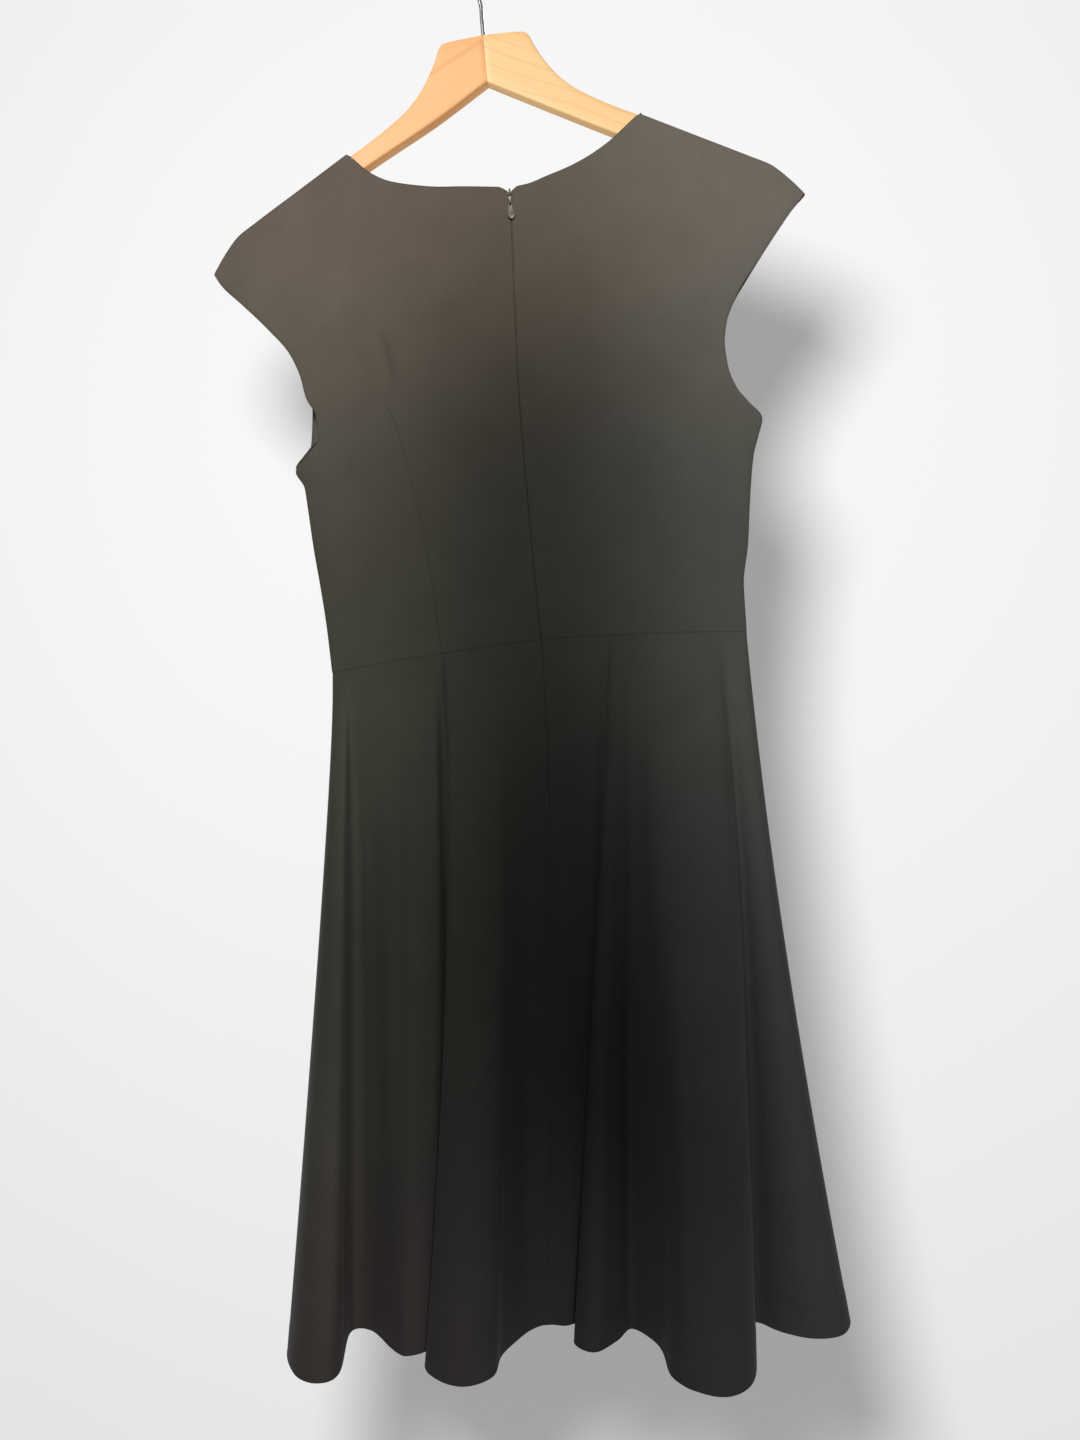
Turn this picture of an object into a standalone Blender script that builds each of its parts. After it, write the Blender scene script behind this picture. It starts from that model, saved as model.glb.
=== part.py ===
"""A fit and flare cocktail dress with cap sleeves, hung on a wooden hanger with a wire hook.

Frame: metres, +Z up. The origin is the inside top of the hook, where a rail carries it all.
-Y is the side of the dress's back, with its zip, and +X is to the right as seen from there.
Heights called "up" are measured from the waist seam; "out" is a distance from the middle
plane of the hanger, x = 0, to either side.
"""

import math

import bmesh
import bpy
import numpy as np
from mathutils import Matrix


def named(columns, *rows):
    """A table held as one array per named column."""
    return dict(zip(columns.split(), np.array(rows, dtype=float).T))


LEFT, RIGHT = -1, 1
BACK, FRONT = -1, 1
SIDE_NAME = {LEFT: "left", RIGHT: "right"}
FACE_NAME = {BACK: "back", FRONT: "front"}

# ------------------------------------------------------------------ driving sizes of the dress
HEM_UP = -0.560             # hem, below the waist seam
WALL = 0.0015               # crepe with its turnings
SEAM = 0.0003               # left free between neighbouring pieces
WAIST_DROP = 0.0086         # how much lower the waist seam lies at the side seams
WAIST_SAG = 1.5             # power of that drop, from the centre to the side

ROLL = 0.0085               # half thickness of the shoulder where it rolls over the hanger
ROLL_SQUARENESS = 3.0       # superellipse power of that roll
CAP_ROLL = 0.0030           # half thickness at the tip of the cap sleeve, with no hanger inside
ROLL_OUT = (0.2240, 0.2490) # the shoulder thins from the one to the other between these
SHOULDER_FALL = 0.10        # how fast the cloth leaves the hanger below the roll
BLEND = 0.006               # softness where the shoulder's form meets the body's
TUBE_POWER = 2.6            # squareness of the body's cross-section
TUBE_EDGE = 0.75            # how sharply it closes at the side seam
NECK_SHARE = 0.5            # share of a bodice half's columns taken by the neckline

TAPE_EDGES = (0.0, 0.004, 0.008, 0.012)     # columns of a zip tape, away from the seam
TAPE_WALL = 0.0010
ZIP_END_UP = -0.150         # lower end of the zip, in the skirt
SLIT = 0.0009               # half width of the slit in which the slider's neck stands
SLIDER = (0.0056, 0.0026, 0.0080)   # the slider's body, inside the tapes
SLIDER_UP = 0.3618          # its middle
PIN_UP = 0.3640             # pin on which the pull hangs
PIN_OFF = 0.0023            # how far the pin stands off the cloth
PIN_RADIUS = 0.0005
PIN_HALF = 0.0021
LUG_RADIUS = 0.0012         # round end of the slider's neck, about the pin
LUG_HALF = 0.0005
EAR = (0.0008, 0.0018)      # each ear of the pull, from and to, along the pin
EAR_HOLE = 0.0008
PULL_THICKNESS = 0.0010
PULL_FORK = -0.0015         # bottom of the fork that straddles the slider's lug
PULL_TIP = -0.0206
WINDOW_MIDDLE = -0.0085     # oval window in the pull, below its pin
WINDOW_HALF = (0.0006, 0.0013)

# ------------------------------------------------------------------ driving sizes of the hanger
BOARD = 0.011               # thickness of the board
BOARD_BEVEL = 0.0025
BOARD_CLEARANCE = 0.0009    # between the board's top edge and the cloth that rests on it
BLOCK_TOP_UP = 0.5049       # top of the middle block
BLOCK_LOW_UP = 0.4658       # apex of its underside
HIDDEN_OUTS = (0.145, 0.165, 0.185, 0.2115)   # points of the arm's straight top, under the cloth
ARM_END_RADIUS = 0.0075
WIRE = 0.0019               # radius of the hook's wire
HOOK_RADIUS = 0.021         # centreline radius of the hook's bend
HOOK_CENTRE = 0.060         # centre of the bend, above the block
HOOK_ANGLES = (225, -25)    # degrees round the bend from the shank to the wire's end
SHANK_DEPTH = 0.022         # how far the shank is screwed into the block

# The waist seam's height puts the inside top of the hook at the origin.
WAIST_Z = WIRE - HOOK_RADIUS - HOOK_CENTRE - BLOCK_TOP_UP

# ------------------------------------------------------------------ fineness and colours
ROUND_SIDES = 12            # sides of the small cylinders
BORE_SIDES = 16
BEVEL_STEPS = 2
END_STEPS = 7               # steps of the arm's round end
VISIBLE_STEPS = 10          # steps of the arm's curved top
HOOK_STEP = 10              # degrees
WIRE_STEPS = 2
STEPS_PER_FOLD = 3
SEAM_LINE_POINTS = 41       # points along the shoulder seam from which distance is measured
CLOTH_SHARP, BOARD_SHARP = 50, 40    # degrees above which an edge is drawn sharp
LONG_EDGE = 60              # degrees: the board's long edges turn by more than this

CLOTH = ((0.030, 0.028, 0.026), 0.85, 0.0)   # colour, roughness, metallic
TAPE = ((0.020, 0.020, 0.020), 0.70, 0.0)
WOOD = ((0.780, 0.550, 0.320), 0.45, 0.0)
STEEL = ((0.700, 0.700, 0.700), 0.28, 1.0)

# ------------------------------------------------------------------ tables of the bodice
CENTRE_LINE = named(
    "up x",
    (-0.010, 0.0028),
    (0.080, 0.0026),
    (0.190, 0.0037),
    (0.275, 0.0071),
    (0.360, 0.0108),
    (0.372, 0.0112),
)

# Side seams, from the waist to under the arm
SIDE_SEAM = named(
    "up left right",
    (-0.0086, 0.1789, 0.1700),
    (0.030, 0.1799, 0.1712),
    (0.062, 0.1819, 0.1775),
    (0.100, 0.1850, 0.1828),
    (0.135, 0.1868, 0.1890),
    (0.150, 0.1878, 0.1942),
)

# Armhole edges, from the side seam to the tip of the cap
ARMHOLE = named(
    "up back_left back_right front_left front_right",
    (0.1640, 0.1942, 0.1985, 0.1942, 0.1985),
    (0.1760, 0.1790, 0.1890, 0.1855, 0.1880),
    (0.1880, 0.1695, 0.1800, 0.1815, 0.1794),
    (0.2050, 0.1695, 0.1742, 0.1795, 0.1739),
    (0.2225, 0.1768, 0.1730, 0.1782, 0.1725),
    (0.2400, 0.1797, 0.1760, 0.1797, 0.1755),
    (0.2600, 0.1870, 0.1852, 0.1865, 0.1847),
    (0.2850, 0.2052, 0.2036, 0.2047, 0.2032),
    (0.3100, 0.2268, 0.2236, 0.2263, 0.2232),
    (0.3270, 0.2420, 0.2375, 0.2415, 0.2372),
    (0.3395, 0.2490, 0.2490, 0.2490, 0.2490),
)

# Half width of the flattened tube from which the armholes are cut away
TUBE = named(
    "up left right",
    (0.1640, 0.1942, 0.1985),
    (0.1900, 0.1975, 0.2010),
    (0.2200, 0.2050, 0.2065),
    (0.2500, 0.2180, 0.2175),
    (0.2800, 0.2360, 0.2335),
    (0.3100, 0.2560, 0.2535),
    (0.3395, 0.2760, 0.2750),
)

# Half depth of that tube
DEPTH = named(
    "up back front",
    (-0.010, 0.0215, 0.0235),
    (0.100, 0.0240, 0.0280),
    (0.200, 0.0260, 0.0310),
    (0.280, 0.0225, 0.0270),
    (0.345, 0.0182, 0.0210),
    (0.430, 0.0178, 0.0180),
)

# Shoulder seam, from the neck to the tip of the cap: its height on either side
SHOULDER = named(
    "along out left right",
    (0.00, 0.1240, 0.4236, 0.4212),
    (0.35, 0.1640, 0.4014, 0.3990),
    (0.70, 0.2085, 0.3767, 0.3743),
    (0.82, 0.2240, 0.3676, 0.3655),
    (0.92, 0.2380, 0.3535, 0.3523),
    (1.00, 0.2490, 0.3395, 0.3395),
)

# Height of the neckline, from its middle to the shoulder
NECKLINE = named(
    "along back_left back_right front_left front_right",
    (0.00, 0.3708, 0.3708, 0.3000, 0.3000),
    (0.12, 0.3735, 0.3718, 0.3012, 0.3012),
    (0.28, 0.3772, 0.3768, 0.3060, 0.3060),
    (0.45, 0.3808, 0.3827, 0.3175, 0.3175),
    (0.60, 0.3860, 0.3901, 0.3330, 0.3330),
    (0.75, 0.3933, 0.4002, 0.3560, 0.3555),
    (0.87, 0.4045, 0.4109, 0.3850, 0.3838),
    (0.95, 0.4165, 0.4180, 0.4095, 0.4075),
    (1.00, 0.4236, 0.4212, 0.4236, 0.4212),
)

# The slit for the slider's neck and the small V above it, on the centre back seam
ZIP_MOUTH = named(
    "up half_gap",
    (0.3500, SEAM / 2),
    (0.3580, SEAM / 2),
    (0.3600, SLIT),
    (0.3672, SLIT),
    (0.3708, 0.0055),
)

# ------------------------------------------------------------------ tables of the skirt
# One row for each turning of a fold, from the left side seam to the right.
# waist: place on the waist seam, -1 left seam, 0 centre, 1 right seam
# hem_x, hem_out: place of the hem; hem_out is measured from the middle plane outwards
# x_power, out_power: powers by which the fold opens from the waist (0) to the hem (1)
BACK_FOLDS = named(
    "waist hem_x hem_out x_power out_power",
    (-1.000, -0.2470, 0.0000, 1.08, 1.00),
    (-0.985, -0.2580, 0.0360, 1.08, 1.00),
    (-0.968, -0.2410, 0.0720, 1.10, 1.00),
    (-0.950, -0.2195, 0.0850, 1.15, 1.00),
    (-0.930, -0.2045, 0.0735, 1.20, 1.00),
    (-0.905, -0.2105, 0.0180, 1.20, 1.00),
    (-0.860, -0.1935, 0.0150, 1.25, 1.00),
    (-0.750, -0.1720, 0.0395, 1.30, 1.00),
    (-0.680, -0.1630, 0.0490, 1.35, 0.95),
    (-0.610, -0.1540, 0.0535, 1.40, 0.90),
    (-0.510, -0.1385, 0.0460, 1.45, 0.80),
    (-0.465, -0.1270, 0.0190, 1.45, 0.70),
    (-0.435, -0.1376, 0.0640, 1.45, 0.75),
    (-0.380, -0.1224, 0.0868, 1.45, 0.85),
    (-0.300, -0.1000, 0.0955, 1.40, 0.95),
    (-0.210, -0.0806, 0.0840, 1.35, 1.10),
    (-0.150, -0.0770, 0.0560, 1.35, 1.20),
    (-0.080, -0.0600, 0.0275, 1.40, 1.20),
    (0.000, -0.0469, 0.0170, 1.50, 1.20),
    (0.150, -0.0300, 0.0195, 1.20, 1.10),
    (0.310, -0.0190, 0.0180, 1.05, 0.80),
    (0.345, -0.0207, 0.0450, 1.00, 0.85),
    (0.370, -0.0040, 0.0580, 1.00, 0.95),
    (0.392, 0.0132, 0.0435, 1.00, 1.00),
    (0.415, 0.0250, 0.0275, 1.00, 1.00),
    (0.450, 0.0438, 0.0510, 1.00, 0.95),
    (0.500, 0.0545, 0.0915, 1.05, 0.90),
    (0.580, 0.0756, 0.1125, 1.10, 0.90),
    (0.680, 0.0960, 0.1178, 1.30, 0.95),
    (0.780, 0.1122, 0.1055, 1.60, 1.00),
    (0.835, 0.1188, 0.0780, 1.90, 1.05),
    (0.865, 0.1180, 0.0300, 2.10, 1.10),
    (0.885, 0.1260, 0.0260, 2.00, 1.10),
    (0.915, 0.1420, 0.0400, 1.85, 1.00),
    (0.945, 0.1650, 0.0505, 1.75, 1.00),
    (0.970, 0.1875, 0.0475, 1.75, 1.00),
    (0.988, 0.1974, 0.0270, 1.72, 1.00),
    (1.000, 0.1910, 0.0000, 1.72, 1.00),
)

FRONT_FOLDS = named(
    "waist hem_x hem_out x_power out_power",
    (-1.000, -0.2470, 0.0000, 1.08, 1.00),
    (-0.985, -0.2440, 0.0300, 1.15, 1.00),
    (-0.940, -0.2180, 0.0620, 1.20, 1.00),
    (-0.860, -0.1900, 0.0500, 1.20, 1.00),
    (-0.760, -0.1740, 0.0210, 1.20, 1.00),
    (-0.640, -0.1520, 0.0480, 1.20, 0.95),
    (-0.520, -0.1230, 0.0800, 1.20, 0.90),
    (-0.400, -0.0930, 0.0560, 1.20, 0.90),
    (-0.310, -0.0820, 0.0200, 1.20, 0.90),
    (-0.200, -0.0560, 0.0430, 1.20, 1.00),
    (-0.080, -0.0300, 0.0620, 1.10, 1.00),
    (0.040, -0.0080, 0.0260, 1.10, 1.00),
    (0.150, 0.0180, 0.0460, 1.10, 0.95),
    (0.290, 0.0420, 0.0850, 1.10, 0.90),
    (0.430, 0.0700, 0.0600, 1.20, 0.90),
    (0.530, 0.0830, 0.0220, 1.20, 0.90),
    (0.650, 0.1040, 0.0480, 1.30, 1.00),
    (0.770, 0.1240, 0.0680, 1.40, 1.00),
    (0.860, 0.1430, 0.0330, 1.50, 1.00),
    (0.930, 0.1700, 0.0420, 1.60, 1.00),
    (0.985, 0.1930, 0.0250, 1.72, 1.00),
    (1.000, 0.1910, 0.0000, 1.72, 1.00),
)

# ------------------------------------------------------------------ tables of zip and hanger
# Half outline of the zip's pull, below its pin
PULL = named(
    "height half_width",
    (0.0000, 0.0018),
    (-0.0025, 0.0018),
    (-0.0065, 0.0014),
    (-0.0120, 0.0025),
    (-0.0152, 0.0031),
    (-0.0180, 0.0026),
    (-0.0200, 0.0013),
)

# Upper edge of a hanger arm as far as it shows, from the corner of the block
ARM_TOP = named(
    "out up",
    (0.0335, 0.5027),
    (0.0372, 0.5000),
    (0.0415, 0.4905),
    (0.0500, 0.4748),
    (0.0600, 0.4614),
    (0.0700, 0.4518),
    (0.0850, 0.4412),
    (0.1000, 0.4322),
    (0.1200, 0.4213),
)

# Its lower edge, from the rounded end back to the middle
ARM_LOW = named(
    "out left right",
    (0.1700, 0.3790, 0.3740),
    (0.1300, 0.3985, 0.3925),
    (0.0950, 0.4163, 0.4118),
    (0.0460, 0.4400, 0.4395),
)

# The wire between the block's top and the bend; height is above the block
SHANK = named(
    "x height",
    (0.0000, -SHANK_DEPTH),
    (0.0000, 0.0000),
    (0.0000, 0.0120),
    (-0.0002, 0.0270),
    (-0.0042, 0.0385),
)

# ------------------------------------------------------------------ where the cloth is sampled
ARMHOLE_FOOT = ((ARMHOLE["up"][0] - SIDE_SEAM["up"][0])
                / (ARMHOLE["up"][-1] - SIDE_SEAM["up"][0]))
# Shares of the way from the middle to the side, and from the waist to the top
COLUMNS = (0.0, 0.09, 0.18, 0.27, 0.35, 0.42, 0.463, 0.485, 0.499, NECK_SHARE,
           0.58, 0.67, 0.76, 0.84, 0.90, 0.945, 0.975, 0.992, 1.0)
SEAM_ROWS = (0.0, 0.11, 0.20, 0.31, 0.41, 0.455, ARMHOLE_FOOT)
ARMHOLE_ROWS = (0.53, 0.565, 0.615, 0.665, 0.72, 0.78, 0.84, 0.89, 0.935, 0.9755)
TOP_ROWS = (0.9875, 0.995, 0.999, 1.0)
TAPE_TOP_ROWS = 1           # of the top rows, how many the zip tapes still reach
SKIRT_LEVELS = (0.0, 0.05, 0.13, 0.23, 0.35, 0.49, 0.65, 0.82, 1.0)


# ------------------------------------------------------------------ small formulas
def unit(vectors):
    """Vectors of length one."""
    length = np.linalg.norm(vectors, axis=-1, keepdims=True)
    return vectors / np.maximum(length, 1e-12)


def smooth(x, y, at):
    """A smooth curve through points (x, y) that never overshoots them (monotone cubic)."""
    step = np.diff(x)
    slope = np.diff(y) / step
    tangent = np.zeros(len(x))
    tangent[0], tangent[-1] = slope[0], slope[-1]
    product = slope[:-1] * slope[1:]
    weight_a = 2 * step[1:] + step[:-1]
    weight_b = step[1:] + 2 * step[:-1]
    total = weight_a * slope[1:] + weight_b * slope[:-1]
    rising = product > 0
    tangent[1:-1] = np.where(rising, (weight_a + weight_b) * product / np.where(rising, total, 1), 0)
    at = np.clip(np.asarray(at, dtype=float), x[0], x[-1])
    k = np.clip(np.searchsorted(x, at, side="right") - 1, 0, len(step) - 1)
    t = (at - x[k]) / step[k]
    return ((1 + 2 * t) * (1 - t) ** 2 * y[k] + t * (1 - t) ** 2 * step[k] * tangent[k]
            + t * t * (3 - 2 * t) * y[k + 1] + t * t * (t - 1) * step[k] * tangent[k + 1])


def spline(points, steps):
    """Catmull-Rom curve through points, with the given steps between neighbours."""
    points = np.array(points, dtype=float)
    first, last = 2 * points[:1] - points[1:2], 2 * points[-1:] - points[-2:-1]
    padded = np.concatenate([first, points, last])
    result = []
    for k in range(1, len(padded) - 2):
        a, b, c, d = padded[k - 1:k + 3]
        for t in np.arange(steps) / steps:
            result.append(0.5 * (2 * b + (c - a) * t + (2 * a - 5 * b + 4 * c - d) * t ** 2
                                 + (3 * b - a - 3 * c + d) * t ** 3))
    result.append(points[-1])
    return np.array(result)


def soft_min(a, b):
    """The smaller of two values, rounded where they meet."""
    near = np.maximum(0.0, 1.0 - np.abs(a - b) / BLEND)
    return np.minimum(a, b) - 0.25 * BLEND * near ** 2


# ------------------------------------------------------------------ form of the bodice
def side_out(up, side, face):
    """Distance of the side seam, and of the armhole edge above it, from the middle plane."""
    edge = ARMHOLE[f"{FACE_NAME[face]}_{SIDE_NAME[side]}"]
    heights = np.concatenate([SIDE_SEAM["up"], ARMHOLE["up"]])
    return smooth(heights, np.concatenate([SIDE_SEAM[SIDE_NAME[side]], edge]), up)


def tube_out(up, side):
    """Half width of the flattened tube of the body."""
    heights = np.concatenate([SIDE_SEAM["up"], TUBE["up"]])
    outs = np.concatenate([SIDE_SEAM[SIDE_NAME[side]], TUBE[SIDE_NAME[side]]])
    return smooth(heights, outs, up)


def shoulder_seam(along, side):
    """(out, up) on the shoulder seam, from the neck (0) to the tip of the cap (1)."""
    seam_out = smooth(SHOULDER["along"], SHOULDER["out"], along)
    return np.stack([seam_out, smooth(SHOULDER["along"], SHOULDER[SIDE_NAME[side]], along)], -1)


def distance_to_shoulder(out, up, side):
    """Distance, in the hanger's plane, from the shoulder seam."""
    line = shoulder_seam(np.linspace(0.0, 1.0, SEAM_LINE_POINTS), side)
    point = np.stack([out, up], -1)[..., None, :]
    start, leg = line[:-1], np.diff(line, axis=0)
    t = np.clip(((point - start) * leg).sum(-1) / (leg ** 2).sum(-1), 0.0, 1.0)
    return np.linalg.norm(point - (start + t[..., None] * leg), axis=-1).min(-1)


def body_depth(x, up, side, face):
    """Half depth of the bodice: a flattened tube below, a roll over the hanger above."""
    out = np.abs(x)
    share = np.minimum(out / tube_out(up, side), 1.0)
    tube = smooth(DEPTH["up"], DEPTH[FACE_NAME[face]], up)
    tube = tube * (1.0 - share ** TUBE_POWER) ** TUBE_EDGE
    radius = np.interp(out, ROLL_OUT, (ROLL, CAP_ROLL))
    distance = distance_to_shoulder(out, up, side)
    inside = np.clip(1.0 - distance / radius, 0.0, 1.0)
    roll = radius * (1.0 - inside ** ROLL_SQUARENESS) ** (1.0 / ROLL_SQUARENESS)
    shoulder = roll + SHOULDER_FALL * np.maximum(0.0, distance - radius)
    return np.maximum(0.0, soft_min(tube, shoulder))


def top_edge(u, side, face):
    """Neckline, then shoulder: x and up of the bodice's top for u from 0 to 1."""
    centre = CENTRE_LINE["x"][-1]
    neck_height = NECKLINE[f"{FACE_NAME[face]}_{SIDE_NAME[side]}"]
    along_neck = np.clip(u / NECK_SHARE, 0.0, 1.0)
    neck_x = centre + along_neck * (side * SHOULDER["out"][0] - centre)
    neck_up = smooth(NECKLINE["along"], neck_height, along_neck)
    shoulder = shoulder_seam(np.clip((u - NECK_SHARE) / (1.0 - NECK_SHARE), 0.0, 1.0), side)
    on_neck = u < NECK_SHARE
    return (np.where(on_neck, neck_x, side * shoulder[..., 0]),
            np.where(on_neck, neck_up, shoulder[..., 1]))


def waist_edge(u, side):
    """x and up of the waist seam for u from 0 (centre) to 1 (side seam)."""
    centre = CENTRE_LINE["x"][0]
    x = centre + u * (side * SIDE_SEAM[SIDE_NAME[side]][0] - centre)
    return x, -WAIST_DROP * u ** WAIST_SAG


def bodice_grid(rows, side, face):
    """Outer points of half a bodice face, an array of rows by columns by xyz.

    (x, up) is the Coons patch between the waist seam, the centre line, the neckline with the
    shoulder, and the side seam with the armhole; y is the half depth there, and nothing on
    the shoulder seam, where front and back meet.
    """
    u, v = np.meshgrid(np.array(COLUMNS), np.array(rows))
    ends = np.array([0.0, 1.0])
    low, low_end = waist_edge(u, side), np.stack(waist_edge(ends, side))
    top, top_end = top_edge(u, side, face), np.stack(top_edge(ends, side, face))
    centre_up = low_end[1, 0] + (top_end[1, 0] - low_end[1, 0]) * v
    centre = smooth(CENTRE_LINE["up"], CENTRE_LINE["x"], centre_up)
    top_centre = smooth(CENTRE_LINE["up"], CENTRE_LINE["x"], top_end[1, :1])
    centre = centre + (top_end[0, 0] - top_centre) * v, centre_up
    edge_up = low_end[1, 1] + (top_end[1, 1] - low_end[1, 1]) * v
    edge = side * side_out(edge_up, side, face), edge_up
    patch = []
    for k in (0, 1):
        corners = ((1 - v) * ((1 - u) * low_end[k, 0] + u * low_end[k, 1])
                   + v * ((1 - u) * top_end[k, 0] + u * top_end[k, 1]))
        patch.append((1 - v) * low[k] + v * top[k] + (1 - u) * centre[k] + u * edge[k] - corners)
    x, up = patch
    on_seam = (v > 1.0 - 1e-9) & (u > NECK_SHARE - 1e-9)
    y = np.where(on_seam, 0.0, face * body_depth(x, up, side, face))
    return np.stack([x, y, up + WAIST_Z], -1)


# ------------------------------------------------------------------ form of the skirt
def waist_section(place, face):
    """x, y and up on the waist seam, for places from -1 (left) to 1 (right)."""
    halves = []
    for side in (LEFT, RIGHT):
        x, up = waist_edge(np.abs(place), side)
        halves.append(np.stack([x, face * body_depth(x, up, side, face), up]))
    return np.where(place < 0, halves[0], halves[1])


def skirt_grid(folds, levels, face):
    """Outer points of one side of the skirt, hem first: columns fall from waist to hem."""
    place, hem_x, hem_out, x_power, out_power = spline(np.stack(list(folds.values()), -1),
                                                       STEPS_PER_FOLD).T
    waist_x, waist_y, waist_up = waist_section(np.clip(place, -1.0, 1.0), face)
    fall = np.array(levels)[::-1, None]
    x = waist_x + (hem_x - waist_x) * fall ** x_power
    y = waist_y + (face * hem_out - waist_y) * fall ** out_power
    up = waist_up + (HEM_UP - waist_up) * fall
    return np.stack([x, y, up + WAIST_Z], -1)


def centre_column():
    """The skirt's column on the centre back seam."""
    return STEPS_PER_FOLD * list(BACK_FOLDS["waist"]).index(0.0)


# ------------------------------------------------------------------ walls of cloth
def vertex_normals(grid, face):
    """Mean of the face normals round each grid point, pointing out of the back or front."""
    across = grid[1:, 1:] - grid[:-1, :-1]
    down = grid[1:, :-1] - grid[:-1, 1:]
    faces = unit(np.cross(across, down))
    total = np.zeros_like(grid)
    total[:-1, :-1] += faces
    total[1:, :-1] += faces
    total[:-1, 1:] += faces
    total[1:, 1:] += faces
    normals = unit(total)
    middle = normals[len(grid) // 2, grid.shape[1] // 2, 1]
    return normals * math.copysign(1.0, middle * face)


def flatten(normals, where, axis):
    """Lays the normals of a seam's row or column into the plane of that seam."""
    normals[where + (axis,)] = 0.0
    normals[where] = unit(normals[where])


def wall_mesh(name, outer, inner):
    """A closed wall between two grids of equal shape."""
    rows, columns, _ = outer.shape
    count = rows * columns
    place = np.arange(count).reshape(rows, columns)
    faces = []
    for r in range(rows - 1):
        for c in range(columns - 1):
            quad = [int(i) for i in (place[r, c], place[r, c + 1], place[r + 1, c + 1], place[r + 1, c])]
            faces.append(quad)
            faces.append([corner + count for corner in reversed(quad)])
    border = [int(i) for i in np.concatenate([place[0, :], place[1:, -1], place[-1, -2::-1],
                                              place[-2:0:-1, 0]])]
    for a, b in zip(border, border[1:] + border[:1]):
        faces.append([b, a, a + count, b + count])
    mesh = bpy.data.meshes.new(name)
    points = np.concatenate([outer.reshape(-1, 3), inner.reshape(-1, 3)])
    mesh.from_pydata(points.tolist(), [], faces)
    model = bmesh_of(mesh)
    bmesh.ops.recalc_face_normals(model, faces=model.faces)
    bmesh.ops.triangulate(model, faces=model.faces)
    model.to_mesh(mesh)
    model.free()
    mesh.shade_smooth()
    mesh.set_sharp_from_angle(angle=math.radians(CLOTH_SHARP))
    return mesh


def bmesh_of(mesh):
    """A bmesh copy of a mesh."""
    model = bmesh.new()
    model.from_mesh(mesh)
    return model


def add(name, data, finish):
    """A named object with its own material, made from a mesh or curve."""
    colour, roughness, metallic = finish
    material = bpy.data.materials.new(name)
    material.use_nodes = True
    shader = material.node_tree.nodes["Principled BSDF"]
    shader.inputs["Base Color"].default_value = (*colour, 1.0)
    shader.inputs["Roughness"].default_value = roughness
    shader.inputs["Metallic"].default_value = metallic
    material.diffuse_color = (*colour, 1.0)
    made = bpy.data.objects.new(name, data)
    data.materials.clear()
    data.materials.append(material)
    PART.objects.link(made)
    return made


def add_cloth(name, outer, normals, face):
    """A cloth piece: its outer points and, one wall inside them, its inner points.

    No inner point crosses the middle plane, where the back and the front are sewn.
    """
    inner = outer - normals * WALL
    inner[..., 1] = face * np.maximum(face * inner[..., 1], SEAM / 2)
    add(name, wall_mesh(name, outer, inner), CLOTH)


# ------------------------------------------------------------------ pieces of the bodice
def open_centre(grid, side):
    """Moves the two columns at the centre back seam aside, by the seam and the zip's mouth."""
    gap = np.interp(grid[..., 2] - WAIST_Z, ZIP_MOUTH["up"], ZIP_MOUTH["half_gap"])
    grid[:, 0, 0] += side * gap[:, 0]
    grid[:, 1, 0] += side * (gap[:, 1] - SEAM / 2)


def shoulder_normals(normals, grid):
    """Lays the normals at the shoulder seam square to it, in the hanger's plane."""
    first = COLUMNS.index(NECK_SHARE)
    run = np.gradient(grid[-1, first:, ::2], axis=0)
    square = unit(np.stack([-run[:, 1], run[:, 0]], -1))
    square *= np.where(square[:, 1:] < 0, -1.0, 1.0)
    normals[-1, first:] = np.stack([square[:, 0], 0 * square[:, 0], square[:, 1]], -1)


def bodice_half(rows, side, face):
    """Grid and normals of half a bodice face, with its seam edges square to the seams."""
    grid = bodice_grid(rows, side, face)
    normals = vertex_normals(grid, face)
    flatten(normals, (slice(0, len(SEAM_ROWS)), -1), 1)
    flatten(normals, (0, slice(None)), 2)
    grid[..., 1] += face * SEAM / 2
    grid[0, :, 2] += SEAM / 2
    return grid, normals


def make_back_bodice(side, name):
    """Half of the back with its cap sleeve."""
    grid, normals = bodice_half(SEAM_ROWS + ARMHOLE_ROWS + TOP_ROWS, side, BACK)
    shoulder_normals(normals, grid)
    flatten(normals, (slice(None), 0), 0)
    open_centre(grid, side)
    add_cloth(name, grid, normals, BACK)


def make_front_bodice():
    """The front in one piece, left to right, with both cap sleeves."""
    grids, turned = [], []
    for side in (LEFT, RIGHT):
        grid, normals = bodice_half(SEAM_ROWS + ARMHOLE_ROWS + TOP_ROWS, side, FRONT)
        shoulder_normals(normals, grid)
        grids.append(grid)
        turned.append(normals)
    middle = unit(turned[0][:, :1] + turned[1][:, :1])
    grid = np.concatenate([grids[0][:, ::-1], grids[1][:, 1:]], axis=1)
    normals = np.concatenate([turned[0][:, :0:-1], middle, turned[1][:, 1:]], axis=1)
    add_cloth("front_bodice", grid, normals, FRONT)


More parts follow.
